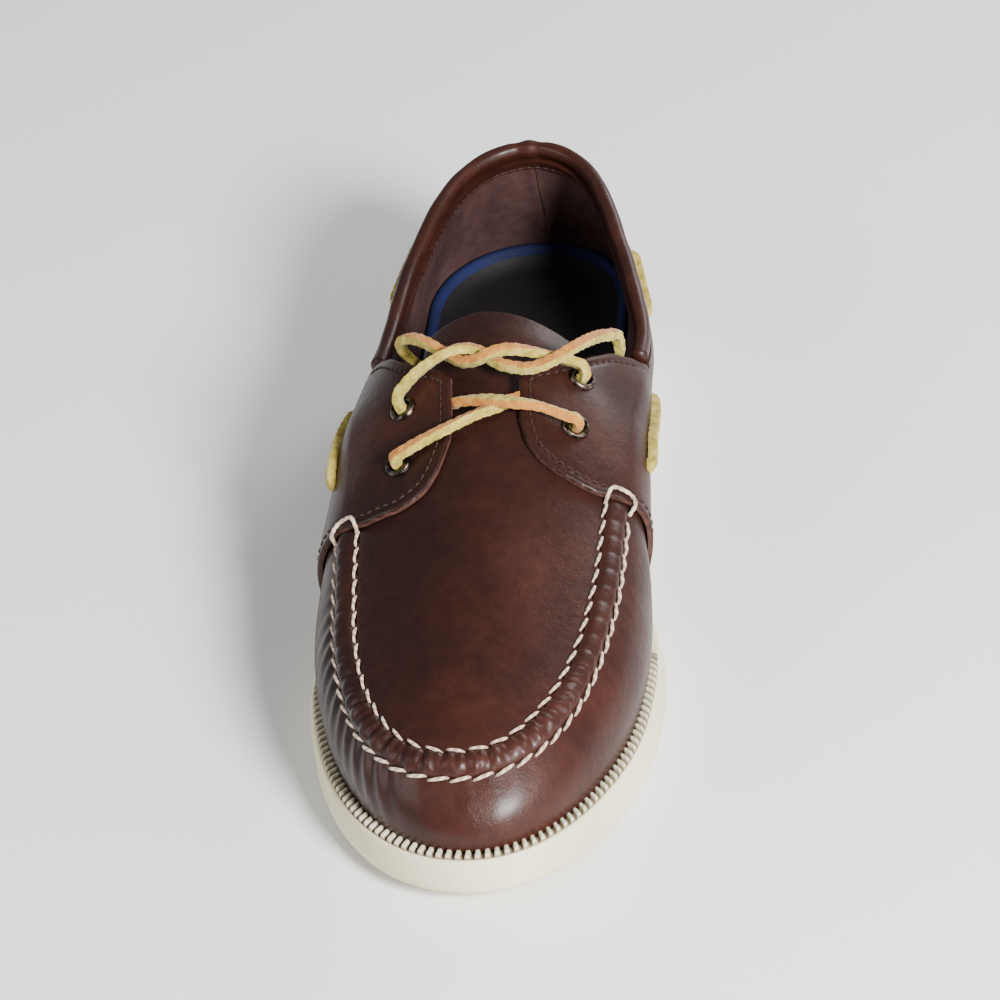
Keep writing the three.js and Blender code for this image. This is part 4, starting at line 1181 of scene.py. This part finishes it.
def seam_ridge():
    """The gathered ridge over the seam: a soft arch in section, pinched at each stitch."""
    start, stop = seam_angles()
    angle = np.linspace(start, stop, 760)
    side, at = place_of(angle)
    run = seam_place(side, at)
    share = np.linspace(-1, 1, 17)[None, :]
    beat = 0.5 + 0.5 * np.cos(2 * np.pi * run / STITCH_PITCH)[:, None]
    pinch = beat**3
    uneven = (0.1 * np.sin(run / 5.3) + 0.1 * np.sin(run / 3.7 + 1) * np.sin(run / 8.9))[:, None]
    front = smoothstep(at, 0.8, 0.95)[:, None]
    height = SEAM_ROLL_HEIGHT * (0.86 + uneven - (0.1 + 0.2 * front) * pinch)
    width = SEAM_ROLL_WIDTH * (0.86 + 0.08 * front - 0.06 * pinch)
    profile = (1 - np.abs(share) ** 2.6) ** 0.7
    slant = (2 * np.pi * run / STITCH_PITCH + 1.2)[:, None]
    lumps = front * (0.16 * np.sin(2 * slant + 1.6 * share) + 0.14 * np.sin(1.37 * slant - 2 * share))
    over, _ = seam_point(angle[:, None], share * width, 0.05 + height * profile + lumps)
    under, _ = seam_point(angle[:, None], share[:, ::-1] * width, -0.5 + 0 * share)
    points = np.concatenate([under, over], 1)
    closing = np.repeat(points.mean(1, keepdims=True), points.shape[1], 1)
    points = np.concatenate([closing[:1], points, closing[-1:]])
    faces, _ = tube_faces(len(points), points.shape[1])
    piece("seam_ridge", points, faces, [upper_leather], stands_for=["seam_roll"])


def collar_binding():
    """The rolled binding: a round section carried round the collar, with swells and the fold at the back."""
    angle, side, at = collar_arc(460, 0.006)
    top, out = top_line(side, at), normal(side, at, 1)
    climb = unit(skin(side, at, 1) - skin(side, at, 0.96))
    middle = top + climb * (COLLAR_ROLL_RADIUS + 1.2 * CLEARANCE)
    run = seam_place(side, at)
    fold = np.exp(-((angle / 0.035) ** 2))
    beside = np.exp(-(((np.abs(angle) - 0.075) / 0.03) ** 2))
    swell = 0.03 * np.sin(run / 6) + 0.02 * np.sin(run / 2.3 + 1)
    radius = COLLAR_ROLL_RADIUS * (1 + swell + 0.14 * fold - 0.1 * beside)
    turn = -2 * np.pi * np.arange(24) / 24
    flat = 1 - 0.1 * np.exp(-((np.cos(turn) + 0.85) ** 2) / 0.02)
    out_part = radius[:, None] * 1.02 * np.cos(turn) * flat
    up_part = radius[:, None] * np.where(np.sin(turn) < 0, 1.25, 1.0) * np.sin(turn)
    points = middle[:, None] + out[:, None] * out_part[..., None] + climb[:, None] * up_part[..., None]
    points[[0, -1]] = middle[[0, -1], None]
    faces, _ = tube_faces(len(points), 24)
    piece("collar_binding", points, faces, [upper_leather], stands_for=["collar_roll"])


def collar_facing():
    """The binding's inner leg: a thin sheet on the lining, from under the roll to just past its stitches."""
    _, side, at = collar_arc(420, 0.004)
    side, at = side[:, None], at[:, None]
    drop = np.array([0.0, 0.5, 1.0, 1.6, 2.2, 2.7, 3.1, 3.4, 3.6])[None, :]
    up = 1 - drop / wall_run(side, at)
    side, at, up = spread(side, at, up)
    inward = WALL_THICKNESS + 0.9 * rounded(3.8 - drop, 0.9) + 0.7 * np.exp(-((drop / 1.2) ** 2))
    inward = inward - 0.4 * np.exp(-(((drop - COLLAR_ROW_DROP) / 0.35) ** 2))
    run = seam_place(side, at)
    inward = inward + 0.08 * np.sin(run / 3.1) + 0.06 * np.sin(run / 1.3 + 2)
    face, root = off(side, at, up, -inward), off(side, at, up, 0 * at - WALL_THICKNESS + 0.3)
    faces, _ = sheet_faces(np.ones((419, 8), bool))
    points = np.concatenate([face.reshape(-1, 3), root.reshape(-1, 3)])
    piece("collar_inner_band", points, faces[:, ::-1], [upper_leather], sharp=60)


def tongue_flap():
    """The tongue: a sheet under the arch, its open edge rounded off."""
    across = np.linspace(-tongue_ends[-1], tongue_ends[1], 61)[:, None]
    share = crowded(50, [0.006, 0.014, 0.024])[None, :]
    back = tongue_ends["back"] + tongue_ends["round"] * across**2
    at = tongue_ends["front"] + (back - tongue_ends["front"]) * share
    q = across + 0 * at
    from_side = 60 * np.minimum(across + tongue_ends[-1], tongue_ends[1] - across)
    from_edge = np.minimum((at - back) * TOP_LENGTH, from_side)
    thick = TONGUE_THICKNESS * (0.35 + 0.65 * rounded(from_edge, 1.2))
    top = -WALL_THICKNESS - TONGUE_GAP + 0.25 * np.sin(at * 60 + 2 * q) * smoothstep(from_edge, 2, 12)
    drop = 0.5 * (TONGUE_THICKNESS - thick)
    outer, inner = arch_off(q, at, top - drop), arch_off(q, at, top - TONGUE_THICKNESS + drop)
    faces, layers = sheet_faces(np.ones((60, share.shape[1] - 1), bool))
    points = np.concatenate([outer.reshape(-1, 3), inner.reshape(-1, 3)])
    slots = np.where(layers == 1, 1, 0)
    piece(
        "tongue_flap",
        points,
        faces,
        [upper_leather, lining_leather],
        slots=slots,
        sharp=50,
        stands_for=["tongue"],
    )


upper_shell()
quarter_panel(-1, "quarter_lateral")
quarter_panel(1, "quarter_medial")
seam_ridge()
collar_binding()
collar_facing()
tongue_flap()


def footbed():
    """The cupped footbed: rings from its middle underneath, up its rim, and down onto the cover."""
    gap = WALL_THICKNESS + CLEARANCE + 0.2
    side, at = around(360)
    middle = np.clip(at, 0.08, 0.92)
    x = BALL_WIDTH * along(outsole_plan, "centre", middle)
    y = sole_edge(side, middle, 0)[1]
    low = np.stack([x, y, sole_top(y) + CLEARANCE], -1)
    high = low + [0, 0, INSOLE_THICKNESS]
    rim = along(insole_edge, "up", at)
    foot = layer(side, at, np.zeros_like(at), -gap)
    rings = ((0.5, 0), (0.93, 0), (1.0, 0.5), (1.0, INSOLE_RIM - 0.7), (0.95, INSOLE_RIM))
    edge = [layer(side, at, rim * share, -gap - inset) for share, inset in rings]
    cup = off(side, at, rim * 0.68, np.full(len(at), -gap - INSOLE_RIM * 1.3))
    floor = off(side, at, rim * 0.4, np.full(len(at), -gap - INSOLE_RIM * 2.2))
    floor[:, 2] = sole_top(floor[:, 1]) + CLEARANCE + INSOLE_THICKNESS + 0.5
    inside = floor + 0.25 * (high - floor)
    points = np.stack([low, foot, *edge, cup, floor, inside, high], 1)
    faces, level = ring_faces(points)
    piece(
        "footbed",
        points,
        faces,
        [insole_foam, insole_cover],
        slots=(level >= 7).astype(int),
        stands_for=["insole"],
    )


def eyelet_rings():
    """Each eyelet: a rolled rim and a barrel, a profile turned round the eyelet's axis."""
    turn = np.linspace(0, np.pi, 9)
    middle, tube = 0.5 * (EYELET_BORE + EYELET_FLANGE), 0.5 * (EYELET_FLANGE - EYELET_BORE)
    barrel = [EYELET_BORE, EYELET_BORE + 0.4, EYELET_BORE + 0.45]
    radius = np.concatenate([middle + tube * np.cos(turn), barrel])
    height = np.concatenate([1.15 * np.sin(turn), [-OVERLAY_THICKNESS, -OVERLAY_THICKNESS, 0]])
    angle = 2 * np.pi * np.arange(48) / 48
    for name, (side, at, up) in eyelet_places.items():
        axis = normal(side, at, up)
        seat = off(side, at, up, OVERLAY_GAP + OVERLAY_THICKNESS + 0.1)
        first = unit(np.cross(axis, [0, 1, 0]))
        second = np.cross(axis, first)
        ring = first * np.cos(angle)[:, None] + second * np.sin(angle)[:, None]
        points = seat + ring[:, None] * radius[None, :, None] + axis * height[None, :, None]
        faces, _ = tube_faces(48, len(radius), closed=True)
        faces = faces[:, ::-1]
        piece(name + "_ring", points, faces, [eyelet_metal], sharp=50, stands_for=[name])


footbed()
eyelet_rings()


# Stitching


def stitches(name, path, out, finish, pitch, length, radius, lean=0.0, lift=0.3):
    """Short threads along a path: capsules of two plies that rise in the middle and dip in at their ends.

    out is the leather's outward direction at each point, lean turns each stitch across the path.
    """
    run = run_of(path)
    count = int((run[-1] - length) / pitch) + 1
    middles = 0.5 * pitch + np.arange(count) * pitch
    u = np.linspace(-1, 1, 11)[None, :]
    place = middles[:, None] + 0.5 * length * u
    centre, lifted = at_run(run, path, place.ravel()), unit(at_run(run, out, place.ravel()))
    heading = unit(at_run(run, np.gradient(path, axis=0), place.ravel()))
    centre, lifted, heading = (v.reshape(count, 11, 3) for v in (centre, lifted, heading))
    across = np.cross(lifted, heading)
    rise = lift * (1 - u**2) - 0.9 * radius * np.abs(u) ** 3
    centre = centre + lifted * rise[..., None] + across * (lean * 0.5 * length * u)[..., None]
    thin = radius * np.sqrt(np.maximum(0, 1 - np.abs(u) ** 5))
    angle = 2 * np.pi * np.arange(10) / 10
    plies = 1 + PLY_DEPTH * np.cos(2 * (angle[None, None, :] - 2.6 * u[..., None]))
    ring = across[:, :, None] * np.cos(angle)[:, None] + lifted[:, :, None] * np.sin(angle)[:, None]
    points = centre[:, :, None] + ring * (thin[..., None] * plies)[..., None]
    faces, uv = tube_faces(11, 10)
    all_faces = (faces[None] + (np.arange(count) * 110)[:, None, None]).reshape(-1, 4)
    all_uv = np.tile(uv, (count, 1, 1))
    piece(name, points.reshape(-1, 3), all_faces, [finish], uv=all_uv)


def seam_rows():
    """The two hand-sewn rows along the ridge's feet."""
    start, stop = seam_angles()
    angle = np.linspace(start, stop, 900)
    side, at = place_of(angle)
    front = smoothstep(at, 0.8, 0.95)
    width = SEAM_ROLL_WIDTH * (0.9 + 0.08 * front)
    outer, outer_up = seam_point(angle, -width, 0.5 + 0 * angle)
    inner, inner_up = seam_point(angle, width, 0.5 + 0 * angle)
    thread = seam_thread, STITCH_PITCH
    stitches("seam_stitches_outer", outer, outer_up, *thread, 6.9, 0.54, lean=0.2, lift=0.55)
    stitches("seam_stitches_inner", inner, inner_up, *thread, 6.1, 0.48, lean=-0.18, lift=0.4)


def thread_tube(name, path, up, radius, finish):
    """A two-ply thread along a path: a round section with two lobes that turn as it goes."""
    angle = 2 * np.pi * np.arange(12) / 12
    lobes = 1 + PLY_DEPTH * np.cos(2 * (angle[None, :] - 1.5 * run_of(path)[:, None]))
    points = swept(path, up, 0 * lobes + angle, radius * lobes)
    faces, uv = tube_faces(len(path), 12)
    piece(name, points, faces, [finish], uv=uv)


def seam_ties():
    """The thread that ties off each end of the seam: a loop over the quarter's edge, from row to row."""
    back = np.array([0.004, -0.001, -0.006, -0.012, -0.016, -0.017, -0.014, -0.007, -0.001, 0.005])
    across = SEAM_ROLL_WIDTH * np.array([-0.95, -0.97, -0.95, -0.75, -0.3, 0.25, 0.75, 0.95, 0.95, 0.9])
    lift = np.array([0.3, 1.5, 2.9, 3.1, 3.0, 3.0, 3.1, 2.9, 1.6, 0.3])
    for side, name in ((-1, "seam_tie_lateral"), (1, "seam_tie_medial")):
        angle = turn_of(side, SEAM_FROM[side] + back)
        path, out = seam_point(angle, across, lift)
        thread_tube(name, smooth_path(path, 0.35), out[5], 0.6, seam_thread)


def back_seam():
    """The upright seam at the back of the lining, from under the binding to just above the footbed's rim."""
    up = np.linspace(0.93, 0.26, 60)
    at = np.full(60, 0.0004)
    path = off(1, at, up, np.full(60, -WALL_THICKNESS - 0.05))
    thread_tube("lining_back_seam", path, -normal(1, 0.0004, 0.6), 0.42, brown_thread)


def facing_rows():
    """The brown row of machine stitches inside each quarter's open edge."""
    for side, name in ((-1, "facing_stitches_lateral"), (1, "facing_stitches_medial")):
        at, up = border(side)
        lift = OVERLAY_GAP + OVERLAY_THICKNESS
        path = off(side, at, up, np.full(len(at), lift))
        out = normal(side, at, up)
        both = smooth_path(np.concatenate([path, out], 1), 0.8)
        path, out = both[:, :3], unit(both[:, 3:])
        inward = -side * np.cross(out, unit(np.gradient(path, axis=0)))
        shifted = path + FACING_ROW_INSET * inward - 0.1 * out
        keep = slice(8, len(path) - 8)
        stitches(name, shifted[keep], out[keep], brown_thread, 2.9, 2.3, 0.3, lift=0.12)


def collar_row():
    """The row of stitches under the binding, on the lining's side."""
    _, side, at = collar_arc(500, 0.02)
    out = -normal(side, at, 0.95)
    path = off(side, at, 1 - COLLAR_ROW_DROP / wall_run(side, at), np.full(len(at), -WALL_THICKNESS - 0.55))
    stitches("collar_stitches", path, out, brown_thread, 3.0, 2.3, 0.32, lift=0.15)


seam_rows()
seam_ties()
back_seam()
facing_rows()
collar_row()


# Floor and light


def stage():
    """The floor: one wide sheet at z = 0."""
    data = bpy.data.meshes.new("floor")
    half = 6.0
    corners = [(-half, -half, 0), (half, -half, 0), (half, half, 0), (-half, half, 0)]
    data.from_pydata(corners, [], [(0, 1, 2, 3)])
    data.materials.append(floor_finish())
    floor = bpy.data.objects.new("floor", data)
    bpy.context.scene.collection.objects.link(floor)


def lamp(name, place, size, power):
    """A round area light turned towards the shoe."""
    data = bpy.data.lights.new(name, "AREA")
    data.shape = "DISK"
    data.size = size
    data.energy = power
    lamp_object = bpy.data.objects.new(name, data)
    lamp_object.location = place
    lamp_object.rotation_euler = (Vector((0, 0, 0.03)) - Vector(place)).to_track_quat("-Z", "Y").to_euler()
    bpy.context.scene.collection.objects.link(lamp_object)


def lights():
    """A strong key light, a weak fill, a light from behind and an even white surround."""
    lamp("key_light", (0.85, -0.95, 0.8), 0.4, 64)
    lamp("fill_light", (-1.1, -0.5, 0.8), 0.8, 8)
    lamp("back_light", (0.7, 1.1, 0.7), 0.6, 10)
    world = bpy.data.worlds.new("world")
    world.use_nodes = True
    world.node_tree.nodes["Background"].inputs["Color"].default_value = (1, 1, 1, 1)
    world.node_tree.nodes["Background"].inputs["Strength"].default_value = 0.28
    bpy.context.scene.world = world


stage()
lights()
